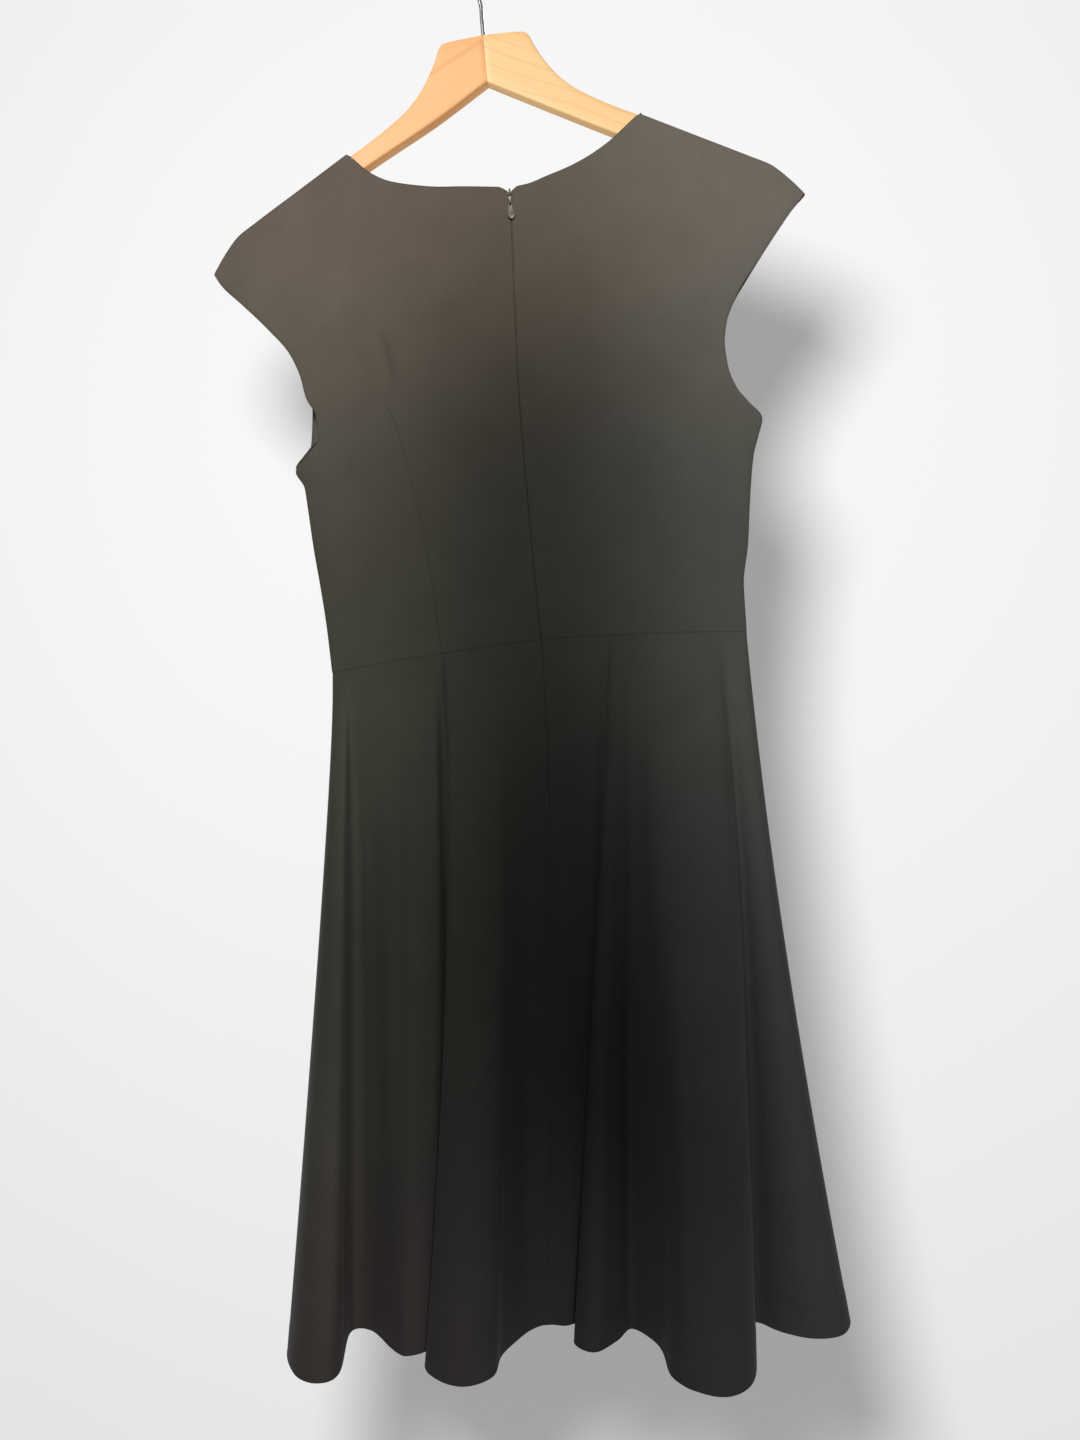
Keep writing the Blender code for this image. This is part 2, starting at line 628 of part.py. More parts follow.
# ------------------------------------------------------------------ pieces of the skirt
def make_skirts():
    """Back skirt in two panels and front skirt in one, meeting at the side seams."""
    back = skirt_grid(BACK_FOLDS, SKIRT_LEVELS, BACK)
    front = skirt_grid(FRONT_FOLDS, SKIRT_LEVELS, FRONT)
    around_back = np.concatenate([front[:, 1:2], back, front[:, -2:-1]], axis=1)
    around_front = np.concatenate([back[:, 1:2], front, back[:, -2:-1]], axis=1)
    back_normals = vertex_normals(around_back, BACK)[:, 1:-1]
    front_normals = vertex_normals(around_front, FRONT)[:, 1:-1]
    for grid, normals, face in ((back, back_normals, BACK), (front, front_normals, FRONT)):
        for row in (0, -1):
            flatten(normals, (row, slice(None)), 2)
        for column in (0, -1):
            flatten(normals, (slice(None), column), 1)
        grid[..., 1] += face * SEAM / 2
        grid[-1, :, 2] -= SEAM / 2
    add_cloth("front_skirt", front, front_normals, FRONT)

    centre = centre_column()
    flatten(back_normals, (slice(None), centre), 0)
    left, right = back[:, :centre + 1].copy(), back[:, centre:].copy()
    left[:, -1, 0] -= SEAM / 2
    right[:, 0, 0] += SEAM / 2
    add_cloth("back_skirt_left", left, back_normals[:, :centre + 1], BACK)
    add_cloth("back_skirt_right", right, back_normals[:, centre:], BACK)


# ------------------------------------------------------------------ zip
def tape_columns(grid, normals):
    """A strip of a panel beside the centre seam, as wide as a zip tape."""
    strip, strip_normals = [], []
    for points, directions in zip(grid, normals):
        away = np.abs(points[:, 0] - points[0, 0])
        strip.append(np.stack([np.interp(TAPE_EDGES, away, points[:, k]) for k in range(3)], -1))
        tilt = np.stack([np.interp(TAPE_EDGES, away, directions[:, k]) for k in range(3)], -1)
        strip_normals.append(tilt)
    return np.array(strip), unit(np.array(strip_normals))


def make_zip_tape(side, name):
    """One zip tape: it lies inside the back, from under the neckline down into the skirt."""
    rows = SEAM_ROWS + ARMHOLE_ROWS + TOP_ROWS[:TAPE_TOP_ROWS]
    bodice, bodice_normals = bodice_half(rows, side, BACK)
    flatten(bodice_normals, (slice(None), 0), 0)
    open_centre(bodice, side)

    zip_end = ZIP_END_UP / HEM_UP
    levels = [level for level in SKIRT_LEVELS if level < zip_end] + [zip_end]
    skirt = skirt_grid(BACK_FOLDS, levels, BACK)
    skirt_normals = vertex_normals(skirt, BACK)
    centre = centre_column()
    flatten(skirt_normals, (slice(None), centre), 0)
    skirt[..., 1] -= SEAM / 2
    skirt[:, centre, 0] += side * SEAM / 2
    reach = (slice(0, -1), slice(centre, None, side))

    lower, lower_normals = tape_columns(skirt[reach], skirt_normals[reach])
    upper, upper_normals = tape_columns(bodice, bodice_normals)
    grid = np.concatenate([lower, upper])
    normals = np.concatenate([lower_normals, upper_normals])
    outer = grid - normals * (WALL + SEAM)
    inner = outer - normals * TAPE_WALL
    outer[:, 0, 0] = inner[:, 0, 0] = grid[:, 0, 0]
    add(name, wall_mesh(name, outer, inner), TAPE)


def cutter(name, model):
    """A loose object made from a bmesh, for use in a boolean."""
    mesh = bpy.data.meshes.new(name)
    model.to_mesh(mesh)
    model.free()
    made = bpy.data.objects.new(name, mesh)
    made.hide_render = True
    made.display_type = "WIRE"
    CUTTERS.objects.link(made)
    return made


def cylinder_along_x(name, radius, half, centre):
    """A closed cylinder with its axis along X."""
    model = bmesh.new()
    bmesh.ops.create_cone(model, cap_ends=True, segments=ROUND_SIDES, radius1=radius,
                          radius2=radius, depth=2 * half)
    bmesh.ops.rotate(model, verts=model.verts, cent=(0, 0, 0),
                     matrix=Matrix.Rotation(math.radians(90), 3, "Y"))
    bmesh.ops.translate(model, verts=model.verts, vec=centre)
    return cutter(name, model)


def block(name, size, centre):
    """A closed box."""
    model = bmesh.new()
    bmesh.ops.create_cube(model, size=1.0)
    bmesh.ops.scale(model, verts=model.verts, vec=size)
    bmesh.ops.translate(model, verts=model.verts, vec=centre)
    return cutter(name, model)


def combine(first, others, operation):
    """The mesh left when a boolean has joined or cut the first object with the others."""
    for other in others:
        step = first.modifiers.new(operation.lower(), "BOOLEAN")
        step.operation = operation
        step.object = other
    evaluated = first.evaluated_get(bpy.context.evaluated_depsgraph_get())
    mesh = bpy.data.meshes.new_from_object(evaluated)
    for used in (first, *others):
        bpy.data.objects.remove(used, do_unlink=True)
    return mesh


def plate(name, loops, thickness):
    """A bmesh plate from outlines in X and Z, centred on y = 0; inner loops are windows."""
    curve = bpy.data.curves.new(name, "CURVE")
    curve.dimensions = "2D"
    curve.fill_mode = "BOTH"
    curve.extrude = thickness / 2
    for loop in loops:
        drawn = curve.splines.new("POLY")
        drawn.points.add(len(loop) - 1)
        drawn.use_cyclic_u = True
        for point, (x, z) in zip(drawn.points, loop):
            point.co = (x, z, 0.0, 1.0)
    holder = bpy.data.objects.new(name, curve)
    CUTTERS.objects.link(holder)
    evaluated = holder.evaluated_get(bpy.context.evaluated_depsgraph_get())
    model = bmesh_of(bpy.data.meshes.new_from_object(evaluated))
    bpy.data.objects.remove(holder, do_unlink=True)
    bmesh.ops.remove_doubles(model, verts=model.verts, dist=0.00001)
    bmesh.ops.rotate(model, verts=model.verts, cent=(0, 0, 0),
                     matrix=Matrix.Rotation(math.radians(90), 3, "X"))
    return model


def cloth_at_pin():
    """The point of the centre back seam under the pull's pin."""
    x = smooth(CENTRE_LINE["up"], CENTRE_LINE["x"], PIN_UP)
    depth = body_depth(x, np.array(PIN_UP), RIGHT, BACK) + SEAM / 2
    return float(x), -float(depth), PIN_UP + WAIST_Z


def make_slider():
    """The slider: its body inside the tapes, its neck through the slit, its lug and pin."""
    x, cloth_y, z = cloth_at_pin()
    pin_y = cloth_y - PIN_OFF
    body_y = cloth_y + WALL + TAPE_WALL + 2 * SEAM + SLIDER[1] / 2
    neck_size = (2 * LUG_HALF, body_y - pin_y, 2 * LUG_RADIUS)
    body = block("body", SLIDER, (x, body_y, SLIDER_UP + WAIST_Z))
    neck = block("neck", neck_size, (x, (body_y + pin_y) / 2, z))
    lug = cylinder_along_x("lug", LUG_RADIUS, LUG_HALF, (x, pin_y, z))
    pin = cylinder_along_x("pin", PIN_RADIUS, PIN_HALF, (x, pin_y, z))
    add("zip_slider", combine(body, (neck, lug, pin), "UNION"), STEEL)


def make_pull():
    """The drop-shaped pull: a plate whose two ears turn on the slider's pin."""
    right = list(zip(PULL["half_width"], PULL["height"]))
    left = [(-x, z) for x, z in reversed(right)]
    fork = [(-EAR[0], 0.0), (-EAR[0], PULL_FORK), (EAR[0], PULL_FORK), (EAR[0], 0.0)]
    turns = [2 * math.pi * k / ROUND_SIDES for k in range(ROUND_SIDES)]
    window = [(WINDOW_HALF[0] * math.cos(t), WINDOW_MIDDLE + WINDOW_HALF[1] * math.sin(t))
              for t in turns]
    body = cutter("body", plate("body", [right + [(0.0, PULL_TIP)] + left + fork, window],
                                PULL_THICKNESS))
    half = (EAR[1] - EAR[0]) / 2
    ears = [cylinder_along_x("ear", LUG_RADIUS, half, (side * (EAR[0] + half), 0, 0))
            for side in (LEFT, RIGHT)]
    solid = cutter("solid", bmesh_of(combine(body, ears, "UNION")))
    hole = cylinder_along_x("hole", EAR_HOLE, 2 * PIN_HALF, (0, 0, 0))
    pull = add("zip_pull", combine(solid, [hole], "DIFFERENCE"), STEEL)
    x, cloth_y, z = cloth_at_pin()
    pull.location = (x, cloth_y - PIN_OFF, z)


# ------------------------------------------------------------------ hanger
def arm_outline(side):
    """(out, up) round an arm: block, concave neck, shoulder under the cloth, round end."""
    outs = np.linspace(ARM_TOP["out"][1], ARM_TOP["out"][-1], VISIBLE_STEPS)
    points = [(SEAM / 2, BLOCK_TOP_UP), (ARM_TOP["out"][0], ARM_TOP["up"][0])]
    points += list(zip(outs, smooth(ARM_TOP["out"], ARM_TOP["up"], outs)))
    seam = np.stack([SHOULDER["out"], SHOULDER[SIDE_NAME[side]]], -1)
    along = unit(seam[2] - seam[0])
    square = np.array([-along[1], along[0]])
    rest = seam[0] - square * (WALL + BOARD_CLEARANCE)
    points += [rest + along * (out - rest[0]) / along[0] for out in HIDDEN_OUTS]
    centre = points[-1] - square * ARM_END_RADIUS
    first = math.atan2(square[1], square[0])
    for k in range(1, END_STEPS + 1):
        turn = first - math.pi * k / END_STEPS
        points.append(centre + ARM_END_RADIUS * np.array([math.cos(turn), math.sin(turn)]))
    points += list(zip(ARM_LOW["out"], ARM_LOW[SIDE_NAME[side]]))
    points.append((SEAM / 2, BLOCK_LOW_UP))
    return points


def is_long(edge):
    """Whether an edge of the board runs along one of its faces, away from the glued joint."""
    ends = [vertex.co for vertex in edge.verts]
    on_face = all(abs(abs(end.y) - BOARD / 2) < SEAM for end in ends)
    same_face = ends[0].y * ends[1].y > 0
    at_joint = all(abs(end.x) < SEAM for end in ends)
    turns = len(edge.link_faces) == 2 and edge.calc_face_angle() > math.radians(LONG_EDGE)
    return on_face and same_face and turns and not at_joint


def make_arm(side, name, bore):
    """One arm of the hanger, cut from a board, its long edges softened."""
    model = plate(name, [[(side * x, up + WAIST_Z) for x, up in arm_outline(side)]], BOARD)
    bmesh.ops.recalc_face_normals(model, faces=model.faces)
    edges = [edge for edge in model.edges if is_long(edge)]
    bmesh.ops.bevel(model, geom=edges, offset=BOARD_BEVEL, segments=BEVEL_STEPS, profile=0.5,
                    affect="EDGES")
    mesh = bpy.data.meshes.new(name)
    model.to_mesh(mesh)
    model.free()
    mesh.shade_smooth()
    mesh.set_sharp_from_angle(angle=math.radians(BOARD_SHARP))
    arm = add(name, mesh, WOOD)
    cut = arm.modifiers.new("bore", "BOOLEAN")
    cut.operation = "DIFFERENCE"
    cut.object = bore


def make_arms():
    """The two glued arms, with the bore for the hook between them."""
    model = bmesh.new()
    bmesh.ops.create_cone(model, cap_ends=True, segments=BORE_SIDES, radius1=WIRE + SEAM,
                          radius2=WIRE + SEAM, depth=2 * (SHANK_DEPTH + SEAM))
    bmesh.ops.translate(model, verts=model.verts, vec=(0, 0, BLOCK_TOP_UP + WAIST_Z))
    bore = cutter("hook_bore", model)
    make_arm(LEFT, "hanger_arm_left", bore)
    make_arm(RIGHT, "hanger_arm_right", bore)


def make_hook():
    """The wire hook: a shank in the block, then an open round bend."""
    start, end = HOOK_ANGLES
    angles = np.radians(np.arange(start, end - 1, -HOOK_STEP))
    bend = np.stack([HOOK_RADIUS * np.cos(angles), HOOK_CENTRE + HOOK_RADIUS * np.sin(angles)], -1)
    shank = np.stack([SHANK["x"], SHANK["height"]], -1)
    path = np.concatenate([spline(np.concatenate([shank, bend[:1]]), WIRE_STEPS)[:-1], bend])
    curve = bpy.data.curves.new("hanger_hook", "CURVE")
    curve.dimensions = "3D"
    curve.bevel_depth = WIRE
    curve.bevel_resolution = 2
    curve.use_fill_caps = True
    drawn = curve.splines.new("POLY")
    drawn.points.add(len(path) - 1)
    for point, (x, height) in zip(drawn.points, path):
        point.co = (x, 0.0, height + BLOCK_TOP_UP + WAIST_Z, 1.0)
    add("hanger_hook", curve, STEEL)


# ------------------------------------------------------------------ the dress on its hanger
for old in list(bpy.data.objects):
    bpy.data.objects.remove(old, do_unlink=True)
PART = bpy.data.collections.new("cocktail dress on its hanger")
bpy.context.scene.collection.children.link(PART)
CUTTERS = bpy.data.collections.new("cutters")
bpy.context.scene.collection.children.link(CUTTERS)

make_back_bodice(LEFT, "back_bodice_left")
make_back_bodice(RIGHT, "back_bodice_right")
make_front_bodice()
make_skirts()
make_zip_tape(LEFT, "zip_tape_left")
make_zip_tape(RIGHT, "zip_tape_right")
make_slider()
make_pull()
make_arms()
make_hook()
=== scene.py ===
# %% [markdown]
# # A cocktail dress on its hanger
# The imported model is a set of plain, thick walls. This notebook dresses it: every wall of
# cloth becomes a fine shell of crepe with its darts, seams and folds, the zip gets its coil,
# and the hanger its wood grain. Everything is in metres, +Z up, and the dress's back looks
# along -Y. "Up" is a height above the waist seam, and "out" a distance from the plane x = 0.

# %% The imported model
import math

import bpy
import numpy as np
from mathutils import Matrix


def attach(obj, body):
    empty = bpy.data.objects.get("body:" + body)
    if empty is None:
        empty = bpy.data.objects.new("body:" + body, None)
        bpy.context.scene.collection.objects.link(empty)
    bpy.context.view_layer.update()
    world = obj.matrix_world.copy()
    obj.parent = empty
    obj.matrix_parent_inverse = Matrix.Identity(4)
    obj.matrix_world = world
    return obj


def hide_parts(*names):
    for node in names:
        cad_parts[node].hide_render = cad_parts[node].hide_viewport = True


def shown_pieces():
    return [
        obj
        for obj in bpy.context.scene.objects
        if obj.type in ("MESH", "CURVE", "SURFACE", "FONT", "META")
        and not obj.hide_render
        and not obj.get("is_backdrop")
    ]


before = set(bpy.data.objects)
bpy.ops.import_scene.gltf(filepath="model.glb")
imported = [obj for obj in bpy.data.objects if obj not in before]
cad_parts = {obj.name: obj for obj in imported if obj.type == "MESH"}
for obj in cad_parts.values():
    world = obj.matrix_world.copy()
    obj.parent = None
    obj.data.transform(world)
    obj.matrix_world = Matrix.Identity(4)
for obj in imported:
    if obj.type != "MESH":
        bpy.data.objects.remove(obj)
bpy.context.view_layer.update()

# %% Names, sides and small formulas
SIDES = LEFT, RIGHT = -1, 1
FACES = BACK, FRONT = -1, 1
SIDE_NAME = {LEFT: "left", RIGHT: "right"}
FACE_NAME = {BACK: "back", FRONT: "front"}
MM = 0.001
TINY = 1e-12                     # the least length to divide by


def named(columns, *rows):
    """A table held as one array per named column."""
    return dict(zip(columns.split(), np.array(rows, dtype=float).T))


def unit(vectors):
    """Vectors divided by their own length."""
    return vectors / np.maximum(np.linalg.norm(vectors, axis=-1, keepdims=True), TINY)


def ease(low, high, value):
    """0 below low, 1 above high, and the soft step 3t^2 - 2t^3 between them."""
    t = np.clip((value - low) / (high - low), 0.0, 1.0)
    return t * t * (3.0 - 2.0 * t)


def smooth(x, y, at):
    """A smooth curve through points (x, y) that never overshoots them (monotone cubic)."""
    step = np.diff(x)
    slope = np.diff(y) / step
    tangent = np.zeros(len(x))
    tangent[0], tangent[-1] = slope[0], slope[-1]
    product = slope[:-1] * slope[1:]
    weight_a = 2 * step[1:] + step[:-1]
    weight_b = step[1:] + 2 * step[:-1]
    total = weight_a * slope[1:] + weight_b * slope[:-1]
    rising = product > 0
    mean = (weight_a + weight_b) * product / np.where(rising, total, 1)
    tangent[1:-1] = np.where(rising, mean, 0)
    at = np.clip(np.asarray(at, dtype=float), x[0], x[-1])
    k = np.clip(np.searchsorted(x, at, side="right") - 1, 0, len(step) - 1)
    t = (at - x[k]) / step[k]
    return ((1 + 2 * t) * (1 - t) ** 2 * y[k] + t * (1 - t) ** 2 * step[k] * tangent[k]
            + t * t * (3 - 2 * t) * y[k + 1] + t * t * (t - 1) * step[k] * tangent[k + 1])


def full_circle(count):
    """Even turns round a circle, in radians, without the last, which is the first again."""
    return np.linspace(0.0, 2 * math.pi, count, endpoint=False)


def spline(points, steps):
    """Catmull-Rom curve through points, with the given steps between neighbours."""
    points = np.array(points, dtype=float)
    first, last = 2 * points[:1] - points[1:2], 2 * points[-1:] - points[-2:-1]
    padded = np.concatenate([first, points, last])
    a, b, c, d = (padded[k:len(padded) - 3 + k, None] for k in range(4))
    t = (np.arange(steps) / steps)[None, :, None]
    curve = 0.5 * (2 * b + (c - a) * t + (2 * a - 5 * b + 4 * c - d) * t ** 2
                   + (3 * b - a - 3 * c + d) * t ** 3)
    return np.concatenate([curve.reshape(-1, points.shape[1]), points[-1:]])


# %% [markdown]
# ## The camera
# The dress is seen from its back by a phone held upright, a little to the right of the zip
# and rolled by five degrees. A camera's matrix has its own right, up and backward
# directions as columns, so those three are worked out from the turn and the roll.

# %% Camera
LENS, SENSOR = 27.0, 36.0
CAMERA_AT = (0.0791, -0.8961, -0.6487)
CAMERA_TURN, CAMERA_ROLL = math.radians(5.432), math.radians(-5.341)


def placed(name, data, *columns):
    """A new object in the scene; the columns are its own right, up, backward and place."""
    made = bpy.data.objects.new(name, data)
    if columns:
        matrix = np.eye(4)
        matrix[:3] = np.stack(columns, -1)
        made.matrix_world = matrix.T.tolist()    # Blender reads the numbers column by column
    bpy.context.scene.collection.objects.link(made)
    return made


def make_camera():
    """Right and up are turned by the roll, and backward is minus the line of sight."""
    forward = np.array([-math.sin(CAMERA_TURN), math.cos(CAMERA_TURN), 0.0])
    right = np.array([math.cos(CAMERA_TURN), math.sin(CAMERA_TURN), 0.0])
    up = np.cross(right, forward)
    c, s = math.cos(CAMERA_ROLL), math.sin(CAMERA_ROLL)
    data = bpy.data.cameras.new("camera")
    data.lens, data.sensor_width = LENS, SENSOR
    return placed("camera", data, c * right + s * up, c * up - s * right, -forward, CAMERA_AT)


bpy.context.scene.camera = make_camera()
print("camera:", bpy.context.scene.camera.location)

# %% [markdown]
# ## Shader formulas
# A material is a small program. Written as a formula, such as `0.8 + 0.2 * grain`, it is
# easier to read than a row of linked nodes, so a socket is wrapped in a class whose
# operators add the Math nodes. One method, `node`, adds every other kind of node.

# %% Formulas on sockets


def operator(operation, swapped=False):
    """A method that adds one Math node, fed by the wire and by the other value if it has one."""
    def method(self, *other):
        inputs = dict(enumerate((*other, self) if swapped else (self, *other)))
        return self.finish.node("ShaderNodeMath", {"operation": operation}, inputs)
    return method


class Wire:
    """A shader socket used like a number: each operator adds one Math node."""

    def __init__(self, finish, socket):
        self.finish, self.socket = finish, socket

    __add__ = __radd__ = operator("ADD")
    __mul__ = __rmul__ = operator("MULTIPLY")
    __sub__, __rsub__ = operator("SUBTRACT"), operator("SUBTRACT", swapped=True)
    __truediv__, __pow__ = operator("DIVIDE"), operator("POWER")
    __lt__, __abs__ = operator("LESS_THAN"), operator("ABSOLUTE")
    sine, folded = operator("SINE"), operator("PINGPONG")

    def clipped(self):
        return self.finish.node("ShaderNodeClamp", {}, {0: self})


class Finish:
    """A material whose Principled shader is fed by formulas."""

    def __init__(self, name, **constants):
        self.material = bpy.data.materials.new(name)
        self.material.use_nodes = True
        self.tree = self.material.node_tree
        self.shader = self.tree.nodes["Principled BSDF"]
        for socket, value in constants.items():
            self.shader.inputs[socket.replace("_", " ")].default_value = value

    def node(self, kind, settings, inputs, output=0):
        """Adds a node: its settings first, then a value or a link for each socket."""
        node = self.tree.nodes.new(kind)
        for key, value in settings.items():
            setattr(node, key, value)
        for key, value in inputs.items():
            if isinstance(value, Wire):
                self.tree.links.new(value.socket, node.inputs[key])
            else:
                node.inputs[key].default_value = value
        return Wire(self, node.outputs[output])

    def feed(self, socket, wire):
        self.tree.links.new(wire.socket, self.shader.inputs[socket])

    def noise(self, vector, scale=1.0, detail=2.0):
        """Cloudy noise from 0 to 1 at a scale in features per unit."""
        inputs = {"Vector": vector, "Scale": scale, "Detail": detail}
        return self.node("ShaderNodeTexNoise", {}, inputs)

    def mix(self, factor, first, second):
        """The colour between two colours, which the Mix node takes at its sockets 6 and 7."""
        inputs = {0: factor, 6: first, 7: second}
        return self.node("ShaderNodeMix", {"data_type": "RGBA"}, inputs, 2)

    def colour(self, factor, first, second):
        self.feed("Base Color", self.mix(factor, first, second))

    def parts(self, vector):
        """The x, y and z of a vector."""
        node = self.node("ShaderNodeSeparateXYZ", {}, {0: vector}).socket.node
        return [Wire(self, output) for output in node.outputs]

    def vector(self, x, y, z=0.0):
        return self.node("ShaderNodeCombineXYZ", {}, {0: x, 1: y, 2: z})

    def place(self):
        """Object coordinates, which are the frame's own metres."""
        return self.node("ShaderNodeTexCoord", {}, {}, "Object")

    def laid_flat(self):
        """The cloth's own coordinates: metres across and along the grain."""
        return self.node("ShaderNodeUVMap", {"uv_map": "grain"}, {})

    def relief(self, height, distance, strength):
        """Bends the surface as if it were raised by height times distance."""
        bump = {"Height": height, "Distance": distance, "Strength": strength}
        self.feed("Normal", self.node("ShaderNodeBump", {}, bump))


# %% [markdown]
# ## Crepe
# Crepe is woven from hard-twisted yarns that shrink into a dry, pebbly face. It has no
# shine, but the fibre ends that stand up catch light at a glancing angle, so the cloth
# looks paler towards its edges: that is the sheen. The yarns are noise stretched along the
# warp and the weft, in the cloth's own coordinates, so the weave follows the folds.

# %% Crepe
YARN, YARN_LONG = 0.5 * MM, 8    # from one yarn to the next, and how much longer its marks are
YARN_RELIEF = 0.16 * MM          # from the lowest to the highest of the weave
PEBBLES, CLOUDS = 0.35 / YARN, 26.0              # features per metre
WARP, WEFT, PEBBLE = 0.36, 0.36, 0.28            # what each gives to the relief
TONE_GAIN, CLOUD_GAIN, TONE_BASE = 1.5, 0.45, 0.48
CREPE_TONES = (0.0215, 0.0208, 0.0197, 1), (0.0385, 0.0372, 0.0352, 1)


def make_crepe():
    """Two crossed sets of yarns, each a noise stretched along its own way, and a pebbly face."""
    finish = Finish("crepe", Roughness=0.92, Sheen_Weight=0.03, Sheen_Roughness=0.50,
                    Sheen_Tint=(1.0, 0.96, 0.90, 1), Specular_IOR_Level=0.07)
    across, along, _ = finish.parts(finish.laid_flat())
    warp = finish.noise(finish.vector(across / YARN, along / (YARN_LONG * YARN)))
    weft = finish.noise(finish.vector(across / (YARN_LONG * YARN), along / YARN, 7.0))
    pebble = finish.noise(finish.vector(across, along, 3.0), PEBBLES, 1.0)
    cloud = finish.noise(finish.vector(across, along), CLOUDS, 3.0)
    yarns = WARP * warp + WEFT * weft + PEBBLE * pebble
    tone = (TONE_GAIN * yarns + CLOUD_GAIN * cloud - TONE_BASE).clipped()
    finish.colour(tone, *CREPE_TONES)
    finish.relief(yarns, YARN_RELIEF, 0.55)
    return finish.material


CREPE = make_crepe()
print("finish:", CREPE.name)

# %% [markdown]
# ## Thin shells
# A cut piece of cloth is a grid of points that has been laid into shape. Its wall needs an
# outer side, an inner side and, all round, a half-round edge, as a turned or pressed edge
# has. Blender's Solidify modifier could thicken the grid, but it leaves square edges and
# one thickness. Here the inner side is set by an array of thicknesses instead, so that
# hems and seam turnings, which are two layers, come out thicker.

# %% A shell from a grid
CREPE_WALL = 0.8 * MM            # one layer
TURNING = 0.6 * MM               # added where a hem or a seam is turned back
JOIN = 0.01 * MM                 # half of the gap left between sewn pieces
SEWN = 0.5 * MM                  # thickness at a sewn edge, which is pressed flat
EDGE_TURNS = np.radians((30, 60, 90, 120, 150))


def vertex_normals(grid):
    """Mean of the unit normals of the four faces round each point."""
    faces = unit(np.cross(grid[1:, 1:] - grid[:-1, :-1], grid[1:, :-1] - grid[:-1, 1:]))
    total = np.zeros_like(grid)
    for rows, columns in ((slice(0, -1), slice(0, -1)), (slice(1, None), slice(0, -1)),
                          (slice(0, -1), slice(1, None)), (slice(1, None), slice(1, None))):
        total[rows, columns] += faces
    return unit(total)


def border(array):
    """The values round the edge of a grid, once round."""
    return np.concatenate([array[0, :], array[1:, -1], array[-1, -2::-1], array[-2:0:-1, 0]])


def outward(grid, normals):
    """At each border point, the direction in the cloth that leads out of the piece."""
    lead = np.zeros_like(grid)
    lead[0] += unit(grid[0] - grid[1])
    lead[-1] += unit(grid[-1] - grid[-2])
    lead[:, 0] += unit(grid[:, 0] - grid[:, 1])
    lead[:, -1] += unit(grid[:, -1] - grid[:, -2])
    lead -= normals * (lead * normals).sum(-1, keepdims=True)
    return unit(lead)


def quads(count_rows, count_columns):
    """Faces of a grid of points that are numbered row by row."""
    place = np.arange(count_rows * count_columns).reshape(count_rows, count_columns)
    corners = (place[:-1, :-1], place[:-1, 1:], place[1:, 1:], place[1:, :-1])
    return np.stack(corners, -1).reshape(-1, 4)


def volume(points, faces):
    """Signed volume inside quads: the sum of the tetrahedra from the origin."""
    a, b, c, d = (points[faces[:, k]] for k in range(4))
    return ((np.cross(a, b) * c).sum() + (np.cross(a, c) * d).sum()) / 6


def piece(name, points, faces, material, flat=None, body="dress", replaces=(), slot=None):
    """A named mesh with outward faces, its grain map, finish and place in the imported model."""
    if volume(points, faces) < 0:
        faces = faces[:, ::-1]
    mesh = bpy.data.meshes.new(name)
    mesh.from_pydata(points.tolist(), [], faces.tolist())
    if flat is not None:
        loops = np.empty(len(mesh.loops), dtype=np.int32)
        mesh.loops.foreach_get("vertex_index", loops)
        grain = mesh.uv_layers.new(name="grain")
        grain.data.foreach_set("uv", flat[loops].astype(np.float32).ravel())
    mesh.shade_smooth()
    mesh.materials.append(material)
    made = placed(name, mesh)
    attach(made, body)
    if replaces:
        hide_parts(*replaces)
    return made


def shell(grid, normals, thickness, flat):
    """Closed wall: outer grid, inner grid, and half circles over the edge between them.

    A point of the edge is middle + radius * (normal * cos(turn) + outward * sin(turn)), and
    the grid's border is drawn in by that radius first, so the edge ends where the cloth does.
    """
    lead = border(outward(grid, normals))
    radius = border(thickness)[:, None] / 2
    rows, columns = grid.shape[:2]
    place = np.arange(rows * columns).reshape(rows, columns)
    ring = border(place)
    outer = grid.reshape(-1, 3).copy()
    outer[ring] -= lead * radius
    inner = outer - (normals * thickness[..., None]).reshape(-1, 3)
    middle, normal = (outer[ring] + inner[ring]) / 2, border(normals)
    rim = [middle + radius * (normal * math.cos(t) + lead * math.sin(t)) for t in EDGE_TURNS]
    points = np.concatenate([outer, inner, *rim])
    count = rows * columns
    faces = [quads(rows, columns), quads(rows, columns)[:, ::-1] + count]
    loops = [ring, *(2 * count + len(ring) * k + np.arange(len(ring)) for k in range(len(rim))),
             ring + count]
    for a, b in zip(loops, loops[1:]):
        faces.append(np.stack([np.roll(a, -1), a, b, np.roll(b, -1)], -1))
    maps = np.concatenate([flat.reshape(-1, 2)] * 2 + [border(flat)] * len(rim))
    return points, np.concatenate(faces), maps


def arc(grid, axis):
    """Distance along the cloth from the first row (axis 0) or column (axis 1)."""
    steps = np.linalg.norm(np.diff(grid, axis=axis), axis=-1)
    start = np.zeros_like(np.take(steps, [0], axis))
    return np.concatenate([start, np.cumsum(steps, axis)], axis)


def area(grid):
    """Area of the quads of a grid: half the cross product of each one's diagonals."""
    cross = np.cross(grid[1:, 1:] - grid[:-1, :-1], grid[1:, :-1] - grid[:-1, 1:])
    return np.linalg.norm(cross, axis=-1).sum() / 2


